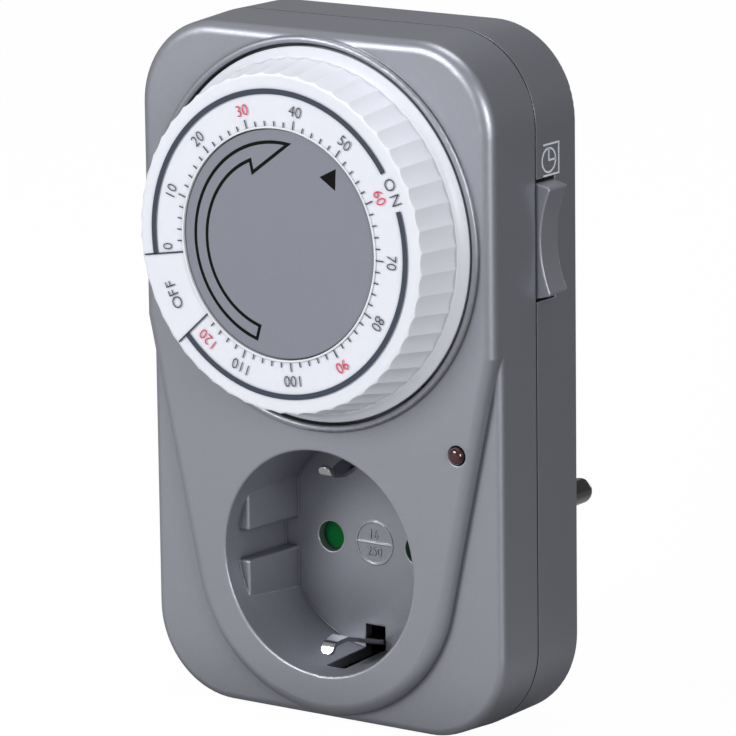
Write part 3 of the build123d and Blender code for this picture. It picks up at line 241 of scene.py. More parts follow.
def joined(parts):
    """Several surfaces as one: points stacked, face numbers shifted by the points before them."""
    shifts = np.cumsum([0] + [len(points) for points, _ in parts])
    faces = [(np.array(face) + shift).tolist()
             for (_, own), shift in zip(parts, shifts) for face in own]
    return np.vstack([points for points, _ in parts]), faces


def piece(name, surface, place, material, body):
    """A mesh from flat points: world = place (u, v, h), riding on a body."""
    points, faces = surface
    matrix = np.array(place)
    mesh = bpy.data.meshes.new(name)
    mesh.from_pydata((points @ matrix[:3, :3].T + matrix[:3, 3]).tolist(), [], faces)
    mesh.update()
    made = bpy.data.objects.new(name, mesh)
    bpy.context.collection.objects.link(made)
    mesh.materials.append(material)
    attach(made, body)
    return made


def lettering(name, words, height, squash, low, high, place, material, body):
    """Words as one mesh: each is (text, u, v, turn), with its middle at (u, v) and its top towards
    the turn's direction."""
    gathered = bmesh.new()
    for text, u, v, turn in words:
        curve = bpy.data.curves.new(name, "FONT")
        curve.body = text
        curve.size = height / CAPITAL_SHARE
        curve.space_character = 1.02
        curve.resolution_u = 5
        curve.extrude = (high - low) / 2
        curve.offset = -0.02 * height       # thins the strokes
        written = bpy.data.objects.new(name, curve)
        bpy.context.collection.objects.link(written)
        mesh = bpy.data.meshes.new_from_object(written)
        bpy.data.objects.remove(written)
        corners = np.empty(len(mesh.vertices) * 3)
        mesh.vertices.foreach_get("co", corners)
        corners = corners.reshape(-1, 3)
        middle = (corners.min(axis=0) + corners.max(axis=0)) / 2
        mesh.transform(Matrix.Translation((u, v, (low + high) / 2)) @ Matrix.Rotation(-turn, 4, "Z")
                       @ Matrix.Diagonal((squash, 1, 1, 1)) @ Matrix.Translation(-Vector(middle)))
        gathered.from_mesh(mesh)
        bpy.data.meshes.remove(mesh)
    mesh = bpy.data.meshes.new(name)
    gathered.to_mesh(mesh)
    gathered.free()
    mesh.transform(place)
    made = bpy.data.objects.new(name, mesh)
    bpy.context.collection.objects.link(made)
    mesh.materials.append(material)
    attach(made, body)
    return made


# ---------------------------------------------------------------- shader groups
def group(name, inputs, outputs):
    """A new node group with named sockets: (kind, name, default) in, (kind, name) out."""
    tree = bpy.data.node_groups.new(name, "ShaderNodeTree")
    for kind, label, default in inputs:
        socket = tree.interface.new_socket(label, in_out="INPUT", socket_type="NodeSocket" + kind)
        if default is not None:
            socket.default_value = default
    for kind, label in outputs:
        tree.interface.new_socket(label, in_out="OUTPUT", socket_type="NodeSocket" + kind)
    return tree, tree.nodes.new("NodeGroupInput"), tree.nodes.new("NodeGroupOutput")


def node(tree, kind, values=(), **settings):
    """A shader node with its settings and its input values, given by socket name or number."""
    made = tree.nodes.new("ShaderNode" + kind)
    for key, value in settings.items():
        setattr(made, key, value)
    for key, value in dict(values).items():
        made.inputs[key].default_value = value
    return made


def fleck_group():
    """Metal flecks: cells of a few tenths of a millimetre, the brightest mixed in, over a soft
    cloud."""
    tree, get, put = group("Metal Flecks", [
        ("Vector", "Vector", None),
        ("Color", "Base", (0.3, 0.3, 0.3, 1)),
        ("Color", "Fleck", (0.6, 0.6, 0.6, 1)),
        ("Float", "Scale", 6500.0),
        ("Float", "Amount", 0.5),
        ("Float", "Cloud", 0.05)], [("Color", "Color"), ("Float", "Mask")])
    cells = node(tree, "TexVoronoi")
    bright = node(tree, "MapRange", {"From Min": 0.6, "From Max": 1.0})
    weight = node(tree, "Math", operation="MULTIPLY")
    cloud = node(tree, "TexNoise", {"Scale": 90.0, "Detail": 3.0})
    shift = node(tree, "MapRange", {"From Min": 0.3, "From Max": 0.7})
    low = node(tree, "Math", operation="MULTIPLY")
    mixed = node(tree, "Mix", data_type="RGBA")
    dulled = node(tree, "Mix", {7: (0.8, 0.8, 0.82, 1)}, data_type="RGBA", blend_type="MULTIPLY")
    link = tree.links.new
    link(get.outputs["Vector"], cells.inputs["Vector"])
    link(get.outputs["Scale"], cells.inputs["Scale"])
    link(get.outputs["Vector"], cloud.inputs["Vector"])
    link(cells.outputs["Color"], bright.inputs["Value"])
    link(bright.outputs["Result"], weight.inputs[0])
    link(get.outputs["Amount"], weight.inputs[1])
    link(weight.outputs[0], mixed.inputs[0])
    link(get.outputs["Base"], mixed.inputs[6])
    link(get.outputs["Fleck"], mixed.inputs[7])
    link(cloud.outputs["Fac"], shift.inputs["Value"])
    link(shift.outputs["Result"], low.inputs[0])
    link(get.outputs["Cloud"], low.inputs[1])
    link(low.outputs[0], dulled.inputs[0])
    link(mixed.outputs[2], dulled.inputs[6])
    link(dulled.outputs[2], put.inputs["Color"])
    link(weight.outputs[0], put.inputs["Mask"])
    return tree


def edge_group():
    """Softened edges with painted light: the normal rounded over a radius, the colour lightened as
    a painted highlight where that leaves the true normal, fully once the cosine between them is
    down to Full
    Cosine, and darkened as painted shade in narrow gaps by the light they miss."""
    tree, get, put = group("Soft Edges", [
        ("Float", "Radius", 0.0002),
        ("Color", "Base", (0.5, 0.5, 0.5, 1)),
        ("Color", "Edge", (0.8, 0.8, 0.8, 1)),
        ("Float", "Amount", 0.3),
        ("Float", "Gap", 0.001),
        ("Float", "Shade", 0.6),
        ("Float", "Full Cosine", 0.80)],
        [("Color", "Color"), ("Vector", "Normal"), ("Float", "Mask")])
    rounded = node(tree, "Bevel", samples=6)
    facing = node(tree, "NewGeometry")
    dot = node(tree, "VectorMath", operation="DOT_PRODUCT")
    away = node(tree, "MapRange", {"From Min": 0.995})
    weight = node(tree, "Math", operation="MULTIPLY")
    open_edge = node(tree, "Math", operation="MULTIPLY")
    # painted highlight: the colour lightened on open edges
    mixed = node(tree, "Mix", data_type="RGBA")
    missed = node(tree, "AmbientOcclusion", samples=8)
    depth = node(tree, "MapRange", {"From Min": 0.9, "From Max": 0.4})
    free = node(tree, "MapRange", {"From Min": 0.75, "From Max": 0.95})
    dim = node(tree, "Math", operation="MULTIPLY")
    # painted shade in narrow gaps
    shaded = node(tree, "Mix", {7: PAINTED_SHADE}, data_type="RGBA")
    link = tree.links.new
    link(get.outputs["Radius"], rounded.inputs["Radius"])
    link(rounded.outputs["Normal"], dot.inputs[0])
    link(facing.outputs["Normal"], dot.inputs[1])
    link(dot.outputs["Value"], away.inputs["Value"])
    link(get.outputs["Full Cosine"], away.inputs["From Max"])
    link(get.outputs["Gap"], missed.inputs["Distance"])
    link(missed.outputs["AO"], depth.inputs["Value"])
    link(missed.outputs["AO"], free.inputs["Value"])
    link(away.outputs["Result"], weight.inputs[0])
    link(get.outputs["Amount"], weight.inputs[1])
    link(weight.outputs[0], open_edge.inputs[0])
    link(free.outputs["Result"], open_edge.inputs[1])
    link(open_edge.outputs[0], mixed.inputs[0])
    link(get.outputs["Base"], mixed.inputs[6])
    link(get.outputs["Edge"], mixed.inputs[7])
    link(depth.outputs["Result"], dim.inputs[0])
    link(get.outputs["Shade"], dim.inputs[1])
    link(dim.outputs[0], shaded.inputs[0])
    link(mixed.outputs[2], shaded.inputs[6])
    link(shaded.outputs[2], put.inputs["Color"])
    link(rounded.outputs["Normal"], put.inputs["Normal"])
    link(away.outputs["Result"], put.inputs["Mask"])
    return tree


def grain_group():
    """Surface grain: fine noise stretched by a vector, as a height and as a roughness between two
    values."""
    tree, get, put = group("Surface Grain", [
        ("Vector", "Vector", None),
        ("Vector", "Stretch", (1, 1, 1)),
        ("Float", "Scale", 2500.0),
        ("Float", "Rough Low", 0.3),
        ("Float", "Rough High", 0.5)], [("Float", "Height"), ("Float", "Roughness")])
    stretched = node(tree, "VectorMath", operation="MULTIPLY")
    fine = node(tree, "TexNoise", {"Detail": 4.0, "Roughness": 0.6})
    rough = node(tree, "MapRange", {"From Min": 0.3, "From Max": 0.7})
    link = tree.links.new
    link(get.outputs["Vector"], stretched.inputs[0])
    link(get.outputs["Stretch"], stretched.inputs[1])
    link(stretched.outputs["Vector"], fine.inputs["Vector"])
    link(get.outputs["Scale"], fine.inputs["Scale"])
    link(fine.outputs["Fac"], rough.inputs["Value"])
    link(get.outputs["Rough Low"], rough.inputs["To Min"])
    link(get.outputs["Rough High"], rough.inputs["To Max"])
    link(fine.outputs["Fac"], put.inputs["Height"])
    link(rough.outputs["Result"], put.inputs["Roughness"])
    return tree


def shared(name):
    """The group of that name, built the first time it is asked for."""
    builders = {"Metal Flecks": fleck_group, "Soft Edges": edge_group, "Surface Grain": grain_group}
    return bpy.data.node_groups.get(name) or builders[name]()


def tint(value, scale=1.0):
    """A colour times a number, no part over one, with full alpha."""
    return tuple(min(1.0, part * scale) for part in value) + (1.0,)


def painted_recess_shade(tree, colour_out, amount):
    """Painted shade in recesses: darkens a colour by the light missed within 20 mm, not at all
    where
    85 % comes in, by the whole amount where 45 % does."""
    around = node(tree, "AmbientOcclusion", {"Distance": 0.02}, samples=8)
    lost = node(tree, "MapRange", {"From Min": 0.85, "From Max": 0.45, "To Max": amount})
    deep = node(tree, "Mix", {7: PAINTED_SHADE}, data_type="RGBA")
    tree.links.new(around.outputs["AO"], lost.inputs["Value"])
    tree.links.new(lost.outputs["Result"], deep.inputs[0])
    tree.links.new(colour_out, deep.inputs[6])
    return deep.outputs[2]


def distance_from(tree, where, depth):
    """|y - depth| of a point, as an output socket."""
    split = node(tree, "SeparateXYZ")
    beside = node(tree, "Math", {1: depth}, operation="SUBTRACT")
    apart = node(tree, "Math", operation="ABSOLUTE")
    tree.links.new(where, split.inputs["Vector"])
    tree.links.new(split.outputs["Y"], beside.inputs[0])
    tree.links.new(beside.outputs[0], apart.inputs[0])
    return apart.outputs[0]


def painted_seam_shade(tree, where, colour_out):
    """Painted shade in the gap between the shells: darkens a colour where |y - middle| is under
    half the gap.
    """
    half = SEAM_GAP / 2
    dark = node(tree, "MapRange", {"From Min": half + 0.00002, "From Max": half + 0.00001})
    line = node(tree, "Mix", {7: (0.012, 0.012, 0.013, 1)}, data_type="RGBA")
    tree.links.new(distance_from(tree, where, SEAM + half), dark.inputs["Value"])
    tree.links.new(dark.outputs["Result"], line.inputs[0])
    tree.links.new(colour_out, line.inputs[6])
    return line.outputs[2]


def finish(name, base, rough=(0.35, 0.5), grain=2500.0, stretch=(1, 1, 1), relief=0.00001,
           edge=None, radius=0.00015, edge_amount=0.25, gap=0.001, shade=0.6, full=0.80,
           flecks=None, fleck_amount=0.35, cloud=0.12, case=False, seam_shaded=False, recess=0.0,
           **shader_values):
    """A material: flecked or clouded colour, a painted highlight on edges, painted shade in narrow
    gaps and, where asked, in recesses, grained roughness and relief. On the case, the painted edge
    highlight stays off within 0.6 mm of the seam and comes in fully by 0.9 mm; where the seam is
    shaded, painted shade darkens the seam's gap."""
    made = bpy.data.materials.new(name)
    made.use_nodes = True
    tree = made.node_tree
    link = tree.links.new
    shader = tree.nodes["Principled BSDF"]
    for key, value in shader_values.items():
        shader.inputs[key.replace("_", " ")].default_value = value
    where = node(tree, "TexCoord").outputs["Object"]
    speckle = node(tree, "Group", {
        "Base": tint(base), "Fleck": tint(base if flecks is None else flecks, 1.15),
        "Amount": fleck_amount, "Cloud": cloud}, node_tree=shared("Metal Flecks"))
    # rounded edges, with a painted highlight on them and painted shade in narrow gaps
    edge_light_and_shade = node(tree, "Group", {
        "Radius": radius, "Edge": tint(base if edge is None else edge, 1.3),
        "Amount": edge_amount, "Gap": gap, "Shade": shade,
        "Full Cosine": full}, node_tree=shared("Soft Edges"))
    surface = node(tree, "Group", {
        "Stretch": stretch, "Scale": grain, "Rough Low": rough[0],
        "Rough High": rough[1]}, node_tree=shared("Surface Grain"))
    bump = node(tree, "Bump", {"Strength": 1.0, "Distance": relief})
    colour_out = edge_light_and_shade.outputs["Color"]
    # painted shade in recesses
    if recess:
        colour_out = painted_recess_shade(tree, colour_out, recess)
    # on the case, no painted edge highlight beside the seam
    if case:
        amount = node(tree, "MapRange", {
            "From Min": 0.0006, "From Max": 0.0009, "To Max": edge_amount})
        link(distance_from(tree, where, SEAM), amount.inputs["Value"])
        link(amount.outputs["Result"], edge_light_and_shade.inputs["Amount"])
    # painted shade in the seam's gap
    if seam_shaded:
        colour_out = painted_seam_shade(tree, where, colour_out)
    link(where, speckle.inputs["Vector"])
    link(where, surface.inputs["Vector"])
    link(speckle.outputs["Color"], edge_light_and_shade.inputs["Base"])
    link(colour_out, shader.inputs["Base Color"])
    link(surface.outputs["Roughness"], shader.inputs["Roughness"])
    link(surface.outputs["Height"], bump.inputs["Height"])
    link(edge_light_and_shade.outputs["Normal"], bump.inputs["Normal"])
    link(bump.outputs["Normal"], shader.inputs["Normal"])
    return made


def ink(name, base):
    """A thin print: its colour with a little cloud, and a fine grain."""
    return finish(name, base, rough=(0.45, 0.6), grain=6000.0, relief=0.000002, edge_amount=0.0,
                  radius=0.00002, fleck_amount=0.08, cloud=0.2, shade=0.0, Specular_IOR_Level=0.12)


def dress(names, material):
    """Puts a finish on every slot of the named CAD parts."""
    for name in names:
        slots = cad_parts[name].material_slots
        if not slots:
            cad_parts[name].data.materials.append(material)
        for entry in slots:
            entry.material = material


def settings():
    """The add-on's settings, kept in the scene."""
    return bpy.context.scene.timer_switch


class TimerSwitch(bpy.types.PropertyGroup):
    dial: PointerProperty(type=DialPrint)
    disc: PointerProperty(type=DiscPrint)
    marks: PointerProperty(type=SmallMarks)
    finishes: PointerProperty(type=Finishes)
    stage: PointerProperty(type=Stage)


# ---------------------------------------------------------------- prints
def dial_plane(front):
    """Drawing plane on the dial's axis, at the front of the ring or of the disc."""
    return plane((0, front, DIAL_AXIS), (1, 0, 0), (0, 0, 1))


def minute(dial, minutes):
    """Angle of a minute on the scale: zero + (end - zero) minutes / 120."""
    return dial.zero + (dial.end - dial.zero) * minutes / 120


class TIMER_OT_dial_scale(bpy.types.Operator):
    """Dark ring, minute strokes and the two lines beside OFF, printed on the dial"""
    bl_idname = "timer.dial_scale"
    bl_label = "Dial scale"
    arc_points = 90

    def execute(self, context):
        dial, looks = settings().dial, settings().finishes
        low, high = -dial.ink, dial.ink
        ring = []
        for start, end in ((dial.zero, dial.gap_start + radians(360)),
                           (dial.gap_end + radians(360), dial.end)):
            arc = clock(np.linspace(start, end, self.arc_points), dial.ring_radius)
            ring.append(stroke(arc, dial.ring_width, low, high))
        marks = []
        for minutes in range(2, 120, 2):
            end = dial.tick_long if minutes % 10 == 0 else dial.tick_short
            marks.append((minute(dial, minutes), end, dial.tick_width))
        marks += [(turn, dial.line_end, dial.line_width) for turn in (dial.zero, dial.end)]
        strokes = [stroke(clock(turn, np.array([dial.tick_foot, end])), width, low, high)
                   for turn, end, width in marks]
        dark = ink("dark_print", looks.dark)
        piece("dial_ring", joined(ring), dial_plane(DIAL_FRONT), dark, "dial")
        piece("dial_strokes", joined(strokes), dial_plane(DIAL_FRONT), dark, "dial")
        return {"FINISHED"}


class TIMER_OT_dial_figures(bpy.types.Operator):
    """Minutes from 0 to 120, every third in red, and the words ON and OFF"""
    bl_idname = "timer.dial_figures"
    bl_label = "Dial figures"
    end_figures = {0: radians(263.6), 120: radians(580.3)}      # moved off the lines beside OFF
    words = ((0.0270, (("O", 61.7), ("N", 67.7))),              # radius, then letters and degrees
             (0.0253, (("O", 240.4), ("F", 244.7), ("F", 248.3))))
    letter_height = 0.00225
    squash = 0.96

    def execute(self, context):
        dial, looks = settings().dial, settings().finishes
        dark, red, letters = [], [], []
        for minutes in range(0, 121, 10):
            turn = self.end_figures.get(minutes, minute(dial, minutes))
            u, v = clock(turn, dial.figure_radius)
            (red if minutes and minutes % 30 == 0 else dark).append((str(minutes), u, v, turn))
        for radius, word in self.words:
            for letter, degrees in word:
                u, v = clock(radians(degrees), radius)
                letters.append((letter, u, v, radians(degrees)))
        for name, words, height, base in (
                ("dial_dark_figures", dark, dial.figure_height, looks.dark),
                ("dial_red_figures", red, dial.figure_height, looks.red),
                ("dial_letters", letters, self.letter_height, looks.dark)):
            lettering(name, words, height, self.squash, -dial.ink, dial.ink, dial_plane(DIAL_FRONT),
                      ink(name + "_print", base), "dial")
        return {"FINISHED"}


class TIMER_OT_disc_marks(bpy.types.Operator):
    """Outlined turning arrow and the pointer on the fixed disc"""
    bl_idname = "timer.disc_marks"
    bl_label = "Disc marks"
    outer_points, inner_points = 80, 70
    barb_lead = radians(1.6)        # how far the barb lies before the notch
    pointer = ((35.0, 0.01549), (48.9, 0.01611), (40.5, 0.01896))   # degrees and radius

    def execute(self, context):
        disc, thick = settings().disc, settings().dial.ink
        outer = clock(np.linspace(disc.tail, disc.tip, self.outer_points), disc.outer)
        barb = clock(disc.notch - self.barb_lead, disc.barb_radius)[None]
        inner = clock(np.linspace(disc.notch, disc.tail, self.inner_points), disc.inner)
        arrow = stroke(np.vstack([outer, barb, inner]), disc.stroke, -thick, thick, closed=True)
        corners = [clock(radians(turn), radius) for turn, radius in self.pointer]
        pointer = patch(corners, -thick, thick)
        black = ink("black_print", settings().finishes.black)
        piece("disc_arrow", arrow, dial_plane(DISC_FRONT), black, "housing")
        piece("disc_pointer", pointer, dial_plane(DISC_FRONT), black, "housing")
        return {"FINISHED"}


class TIMER_OT_side_sign(bpy.types.Operator):
    """Clock sign in an open bracket, printed on the side wall above the rocker"""
    bl_idname = "timer.side_sign"
    bl_label = "Side sign"
    circle_points = 40
    bracket = ((0.01525, 0.0761), (0.0201, 0.0761),     # depth behind the front and height
               (0.0201, 0.0707), (0.01525, 0.0707))

    def execute(self, context):
        marks, thick = settings().marks, settings().dial.ink
        wall = plane((SIDE_WALL, CASE_FRONT, 0), (0, 1, 0), (0, 0, 1))
        centre = np.array([marks.clock_depth, marks.clock_height])
        turns = np.linspace(0, 2 * np.pi, self.circle_points, endpoint=False)
        face = centre + clock(turns, marks.clock_radius)
        hands = centre + np.array([[0, marks.clock_radius], [0, 0], [marks.clock_radius, 0]])
        width = marks.sign_stroke
        sign = joined([stroke(face, width, -thick, thick, closed=True),
                       stroke(hands, width, -thick, thick),
                       stroke(self.bracket, width, -thick, thick)])
        piece("side_sign", sign, wall, ink("pale_print", settings().finishes.sign), "housing")
        return {"FINISHED"}


class TIMER_OT_socket_figures(bpy.types.Operator):
    """Small raised figures on the socket floor, above and below the bar of the ring"""
    bl_idname = "timer.socket_figures"
    bl_label = "Socket figures"
    words = (("16", 0.0, 0.0016, 0.0), ("250", 0.0, -0.0015, 0.0))      # text, u, v and turn
    squash = 0.85

    def execute(self, context):
        marks = settings().marks
        floor = plane((0, CASE_FRONT + marks.floor_depth, 0), (1, 0, 0), (0, 0, 1))
        lettering("socket_figures", self.words, marks.floor_height, self.squash,
                  -marks.floor_relief, marks.floor_relief, floor,
                  bpy.data.materials["silver_lacquer"], "housing")
        return {"FINISHED"}


# ---------------------------------------------------------------- finishes
class TIMER_OT_case_finish(bpy.types.Operator):
    """Silver lacquer with fine flecks on the case and the rocker"""
    bl_idname = "timer.case_finish"
    bl_label = "Case finish"

    def execute(self, context):
        looks = settings().finishes
        lacquer = dict(rough=(0.35, 0.43), grain=1800.0, relief=0.000006, flecks=looks.fleck,
                       fleck_amount=0.16, cloud=0.05, edge=looks.edge, radius=0.00045)
        # the shells get a painted edge highlight and painted shade in their recesses
        shell = dict(edge_amount=0.75, full=0.88, case=True, recess=0.36, Metallic=0.66, **lacquer)
        front = finish("silver_lacquer", looks.silver, **shell)
        rear = finish("silver_lacquer_rear", looks.silver, seam_shaded=True, **shell)
        # the rocker: the case's silver made lighter as painted light, with a painted edge highlight
        rocker = finish("rocker_lacquer", looks.rocker, edge_amount=0.9, Metallic=0.6, **lacquer)
        dress(("front_housing",), front)
        dress(("rear_housing",), rear)
        dress(("rocker",), rocker)
        return {"FINISHED"}


class TIMER_OT_dial_finish(bpy.types.Operator):
    """White moulding of the dial and grey of the fixed disc"""
    bl_idname = "timer.dial_finish"
    bl_label = "Dial finish"

    def execute(self, context):
        looks = settings().finishes
        # painted highlight on the edges of the grip's ridges, and painted shade in narrow gaps
        white = finish("white_moulding", looks.white, rough=(0.32, 0.42), grain=1500.0,
                       relief=0.000004, radius=0.00025, edge_amount=1.0, full=0.96, shade=0.3,
                       fleck_amount=0.05, cloud=0.04, Subsurface_Weight=0.2,
                       Subsurface_Scale=0.001, Subsurface_Radius=(1.0, 1.0, 1.0))
        grey = finish("grey_disc", looks.disc, rough=(0.42, 0.5), grain=2200.0, relief=0.000004,
                      flecks=looks.fleck, fleck_amount=0.06, radius=0.0001, edge_amount=0.1,
                      Metallic=0.2)
        dress(("dial_knob",), white)
        dress(("marker_disc",), grey)
        return {"FINISHED"}


class TIMER_OT_movement_finish(bpy.types.Operator):
    """Natural acetal wheels, zinc-plated plate, motor and screws"""
    bl_idname = "timer.movement_finish"
    bl_label = "Movement finish"

    def execute(self, context):
        looks = settings().finishes
        acetal = finish("natural_acetal", looks.acetal, rough=(0.4, 0.55), grain=1200.0,
                        edge_amount=0.3, radius=0.0001, cloud=0.25, Subsurface_Weight=0.1,
                        Subsurface_Scale=0.001)
        zinc = finish("zinc_plate", looks.zinc, rough=(0.28, 0.45), grain=900.0,
                      stretch=(1, 1, 0.05), relief=0.000005, radius=0.00015, cloud=0.3,
                      Metallic=1.0)
        steel = finish("bright_steel", looks.nickel, rough=(0.15, 0.3), grain=1500.0,
                       stretch=(0.1, 1, 1), relief=0.000002, radius=0.0001, cloud=0.2,
                       Metallic=1.0)
        dress(("dial_gear", "cam_disc", "second_gear", "first_gear"), acetal)
        dress(("movement_plate", "motor", "movement_screws", "motor_screws",
               "housing_screws"), zinc)
        dress(("retaining_clip", "clutch_washer", "hub_ring", "rocker_pin",
               "shutter_spring"), steel)
        return {"FINISHED"}


class TIMER_OT_contact_finish(bpy.types.Operator):
    """Brass contacts, nickel-plated pins and earth strips, dark carriers and the green shutter"""
    bl_idname = "timer.contact_finish"
    bl_label = "Contact finish"

    def execute(self, context):
        looks = settings().finishes
        brass = finish("brass_strip", looks.brass, rough=(0.2, 0.38), grain=800.0,
                       stretch=(1, 0.1, 1), relief=0.000004, radius=0.0001, cloud=0.5,
                       Metallic=1.0)
        nickel = finish("nickel_plate", looks.nickel, rough=(0.1, 0.2), grain=900.0,
                        stretch=(1, 0.15, 1), relief=0.000002, radius=0.00015, cloud=0.15,
                        fleck_amount=0.1, Metallic=1.0)
        dark = finish("dark_insulator", looks.carrier, rough=(0.45, 0.65), grain=2000.0,
                      relief=0.00001, edge_amount=0.5, cloud=0.3)
        green = finish("green_moulding", looks.green, rough=(0.35, 0.5), grain=1800.0,
                       relief=0.000006, edge_amount=0.3, cloud=0.2, Specular_IOR_Level=0.15)
        dress(("motor_pinion", "live_contact", "neutral_contact", "switch_terminal_live",
               "switch_terminal_load", "rocker_link_live", "rocker_link_load",
               "contact_spring", "fixed_contact"), brass)
        dress(("plug_pin_live", "plug_pin_neutral", "socket_earth_strip",
               "plug_earth_strip"), nickel)
        dress(("contact_carrier", "rocker_switch", "switch_block"), dark)
        dress(("shutter",), green)
        return {"FINISHED"}


class TIMER_OT_lamp_finish(bpy.types.Operator):
    """Dark red lamp, its board and its resistor"""
    bl_idname = "timer.lamp_finish"
    bl_label = "Lamp finish"

    def execute(self, context):
        looks = settings().finishes
        lens = finish("lamp_lens", looks.lens, rough=(0.06, 0.12), grain=600.0, relief=0.000001,
                      radius=0.0001, edge_amount=0.0, cloud=0.5, Coat_Weight=1.0,
                      Coat_Roughness=0.04, IOR=1.55)
        board = finish("phenolic_board", looks.board, rough=(0.45, 0.65), grain=700.0,
                       stretch=(1, 1, 0.1), edge_amount=0.4, cloud=0.5)
        body = finish("resistor_lacquer", looks.resistor, rough=(0.25, 0.4), grain=900.0, cloud=0.4)
        dress(("lamp",), lens)
        dress(("lamp_board",), board)
        dress(("dropper_resistor",), body)
        return {"FINISHED"}


class TIMER_OT_wiring_finish(bpy.types.Operator):
    """Brown and blue insulation of the leads inside the case"""
    bl_idname = "timer.wiring_finish"
    bl_label = "Wiring finish"

    def execute(self, context):
        looks = settings().finishes
        live = ("live_lead", "switched_lead", "motor_lead_live", "lamp_lead_live")
        neutral = ("motor_lead_neutral", "lamp_lead_neutral")
        for name, base, leads in (("brown_insulation", looks.brown, live),
                                  ("blue_insulation", looks.blue, neutral)):
            dress(leads, finish(name, base, rough=(0.35, 0.55), grain=1600.0, relief=0.00001,
                                cloud=0.3, edge_amount=0.0, radius=0.00005))
        return {"FINISHED"}


# ---------------------------------------------------------------- stage
AIM = Vector((0, CASE_FRONT + 0.015, 0.035))    # what the lights and the camera point at
SOFTBOXES = {                                   # size, and place beside the aim point
    "key": (0.5, (-0.45, -0.95, 0.45)),
    "top": (0.5, (0.0, 0.1, 0.9)),
    "back": (0.6, (-0.05, 1.1, -0.02)),
    "fill": (0.5, (0.95, -0.55, 0.25)),
}


def softbox(name, watts, size, place):
    """A round area lamp at a place, facing the aim point."""
    lamp = bpy.data.lights.new(name, "AREA")
    lamp.shape = "DISK"
    lamp.size = size
    lamp.energy = watts
    made = bpy.data.objects.new(name, lamp)
    made.location = place
    made.rotation_euler = (AIM - place).to_track_quat("-Z", "Y").to_euler()
    bpy.context.collection.objects.link(made)


def backdrop_surface(low, half_width, front, back, bend, height):
    """Floor turning up into a wall: straight along x, and in section a run to the back, a quarter
    circle y = back + bend sin(a), z = low + bend (1 - cos(a)), and a run up."""
    turn = np.linspace(0, np.pi / 2, 13)
    curve = np.column_stack([back + bend * np.sin(turn), bend * (1 - np.cos(turn))])
    profile = np.vstack([[front, 0], curve, [back + bend, height]])
    across = np.linspace(-half_width, half_width, 9)
    x, k = np.meshgrid(across, np.arange(len(profile)), indexing="ij")
    points = np.stack([x, profile[k, 0], low + profile[k, 1]], axis=-1).reshape(-1, 3)
    i, j = np.meshgrid(np.arange(len(across) - 1), np.arange(len(profile) - 1), indexing="ij")
    here = (i * len(profile) + j).ravel()
    faces = np.column_stack([here, here + len(profile), here + len(profile) + 1, here + 1])
    return points, faces.tolist()


def paper():
    """White paper: it glows for the camera, and to reflections its colour falls from pale on the
    left and in front to dark on the right and behind, by 0.9 x + 0.43 y."""
    made = bpy.data.materials.new("white_paper")
    made.use_nodes = True
    tree = made.node_tree
    link = tree.links.new
    shader = tree.nodes["Principled BSDF"]
    shader.inputs["Roughness"].default_value = 0.9
    place = node(tree, "TexCoord")
    across = node(tree, "VectorMath", {1: (0.9, 0.43, 0.0)}, operation="DOT_PRODUCT")
    shade = node(tree, "MapRange", {"From Min": 0.10, "From Max": -0.02, "To Min": 0.08,
                                    "To Max": 0.42}, interpolation_type="SMOOTHSTEP")
    glow = node(tree, "Emission", {"Strength": 1.05})
    rays = node(tree, "LightPath")
    clear = node(tree, "Math", operation="MAXIMUM")
    seen = node(tree, "Math", {1: 0.93}, operation="MULTIPLY")
    blend = node(tree, "MixShader")
    link(rays.outputs["Is Camera Ray"], clear.inputs[0])
    link(rays.outputs["Is Transmission Ray"], clear.inputs[1])
    link(clear.outputs[0], seen.inputs[0])
    link(place.outputs["Object"], across.inputs[0])
    link(across.outputs["Value"], shade.inputs["Value"])
    link(shade.outputs["Result"], shader.inputs["Base Color"])
    link(seen.outputs[0], blend.inputs[0])
    link(shader.outputs[0], blend.inputs[1])
    link(glow.outputs[0], blend.inputs[2])
    link(blend.outputs[0], tree.nodes["Material Output"].inputs["Surface"])
    return made


def even_light(strength):
    """A white world of that strength, which the camera sees at full strength."""
    made = bpy.data.worlds.new("even_light")
    made.use_nodes = True
    tree = made.node_tree
    background = tree.nodes["Background"]
    background.inputs["Color"].default_value = (1, 1, 1, 1)
    rays = node(tree, "LightPath")
    level = node(tree, "MapRange", {"To Min": strength, "To Max": 1.0})
    tree.links.new(rays.outputs["Is Camera Ray"], level.inputs["Value"])
    tree.links.new(level.outputs["Result"], background.inputs["Strength"])
    return made


def aimed_camera(stage):
    """A camera on a sphere round the aim point, rolled and moved in its own plane."""
    reach = cos(stage.elevation)
    back = Vector((sin(stage.azimuth) * reach, -cos(stage.azimuth) * reach, sin(stage.elevation)))
    level = Vector((0, 0, 1)).cross(back).normalized()
    above = back.cross(level)
    right = cos(stage.roll) * level + sin(stage.roll) * above
    up = cos(stage.roll) * above - sin(stage.roll) * level
    lens = bpy.data.cameras.new("camera")
    lens.sensor_width = 36
    lens.sensor_fit = "HORIZONTAL"
    lens.lens = stage.lens
    lens.clip_end = 20
    made = bpy.data.objects.new("camera", lens)
    pose = Matrix((right, up, back)).transposed().to_4x4()
    pose.translation = AIM + back * stage.distance + right * stage.slide + up * stage.rise
    made.matrix_world = pose
    return made


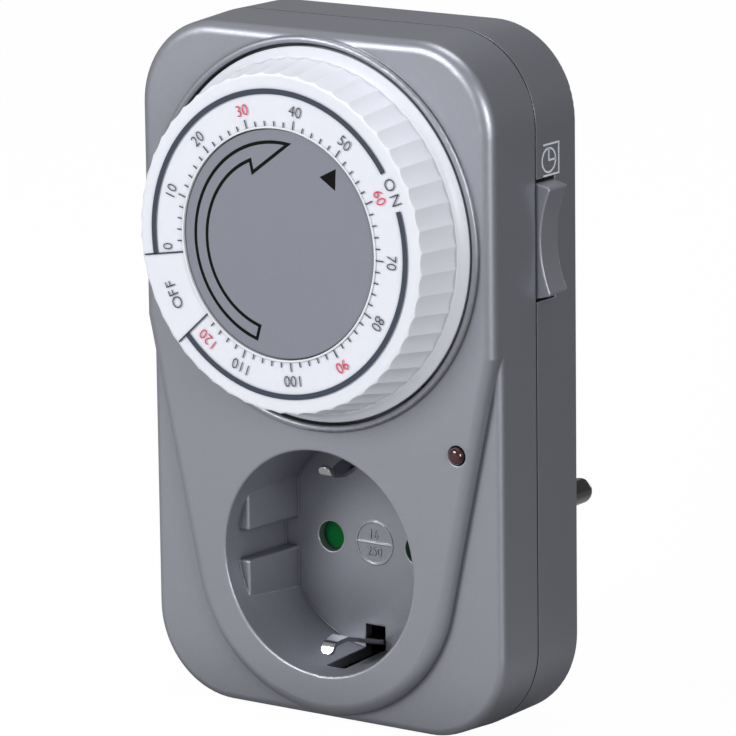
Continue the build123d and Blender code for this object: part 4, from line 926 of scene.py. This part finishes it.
class TIMER_OT_stage(bpy.types.Operator):
    """Pale floor with a backdrop, soft studio light and the camera"""
    bl_idname = "timer.stage"
    bl_label = "Stage"

    def execute(self, context):
        stage = settings().stage
        low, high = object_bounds()
        points, faces = backdrop_surface(low.z, half_width=2.5, front=-2.2, back=0.9,
                                         bend=0.5, height=2.6)
        mesh = bpy.data.meshes.new("backdrop")
        mesh.from_pydata(points.tolist(), [], faces)
        mesh.shade_smooth()
        mesh.materials.append(paper())
        floor = bpy.data.objects.new("backdrop", mesh)
        context.collection.objects.link(floor)
        floor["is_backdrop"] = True
        context.scene.world = even_light(stage.world)
        for name, (size, place) in SOFTBOXES.items():
            softbox(name + "_softbox", getattr(stage, name), size, AIM + Vector(place))
        camera = aimed_camera(stage)
        context.collection.objects.link(camera)
        context.scene.camera = camera
        context.scene.view_settings.view_transform = "Standard"
        return {"FINISHED"}


STEPS = (TIMER_OT_case_finish, TIMER_OT_dial_finish, TIMER_OT_movement_finish,
         TIMER_OT_contact_finish, TIMER_OT_lamp_finish, TIMER_OT_wiring_finish,
         TIMER_OT_dial_scale, TIMER_OT_dial_figures, TIMER_OT_disc_marks, TIMER_OT_side_sign,
         TIMER_OT_socket_figures, TIMER_OT_stage)


class TIMER_PT_sidebar(bpy.types.Panel):
    """Steps that print, finish and stage the timer switch"""
    bl_idname = "TIMER_PT_sidebar"
    bl_label = "Plug-in timer switch"
    bl_space_type = "VIEW_3D"
    bl_region_type = "UI"
    bl_category = "Timer"

    def draw(self, context):
        for step in STEPS:
            self.layout.operator(step.bl_idname)
        kept = settings()
        for part in (kept.dial, kept.disc, kept.marks, kept.finishes, kept.stage):
            box = self.layout.box()
            for name in part.__annotations__:
                box.prop(part, name)


CLASSES = (DialPrint, DiscPrint, SmallMarks, Finishes, Stage, TimerSwitch,
           *STEPS, TIMER_PT_sidebar)


def register():
    for entry in CLASSES:
        bpy.utils.register_class(entry)
    bpy.types.Scene.timer_switch = PointerProperty(type=TimerSwitch)


def unregister():
    del bpy.types.Scene.timer_switch
    for entry in reversed(CLASSES):
        bpy.utils.unregister_class(entry)


def main():
    register()
    for step in STEPS:
        family, name = step.bl_idname.split(".")
        getattr(getattr(bpy.ops, family), name)()


if __name__ == "__main__":
    main()
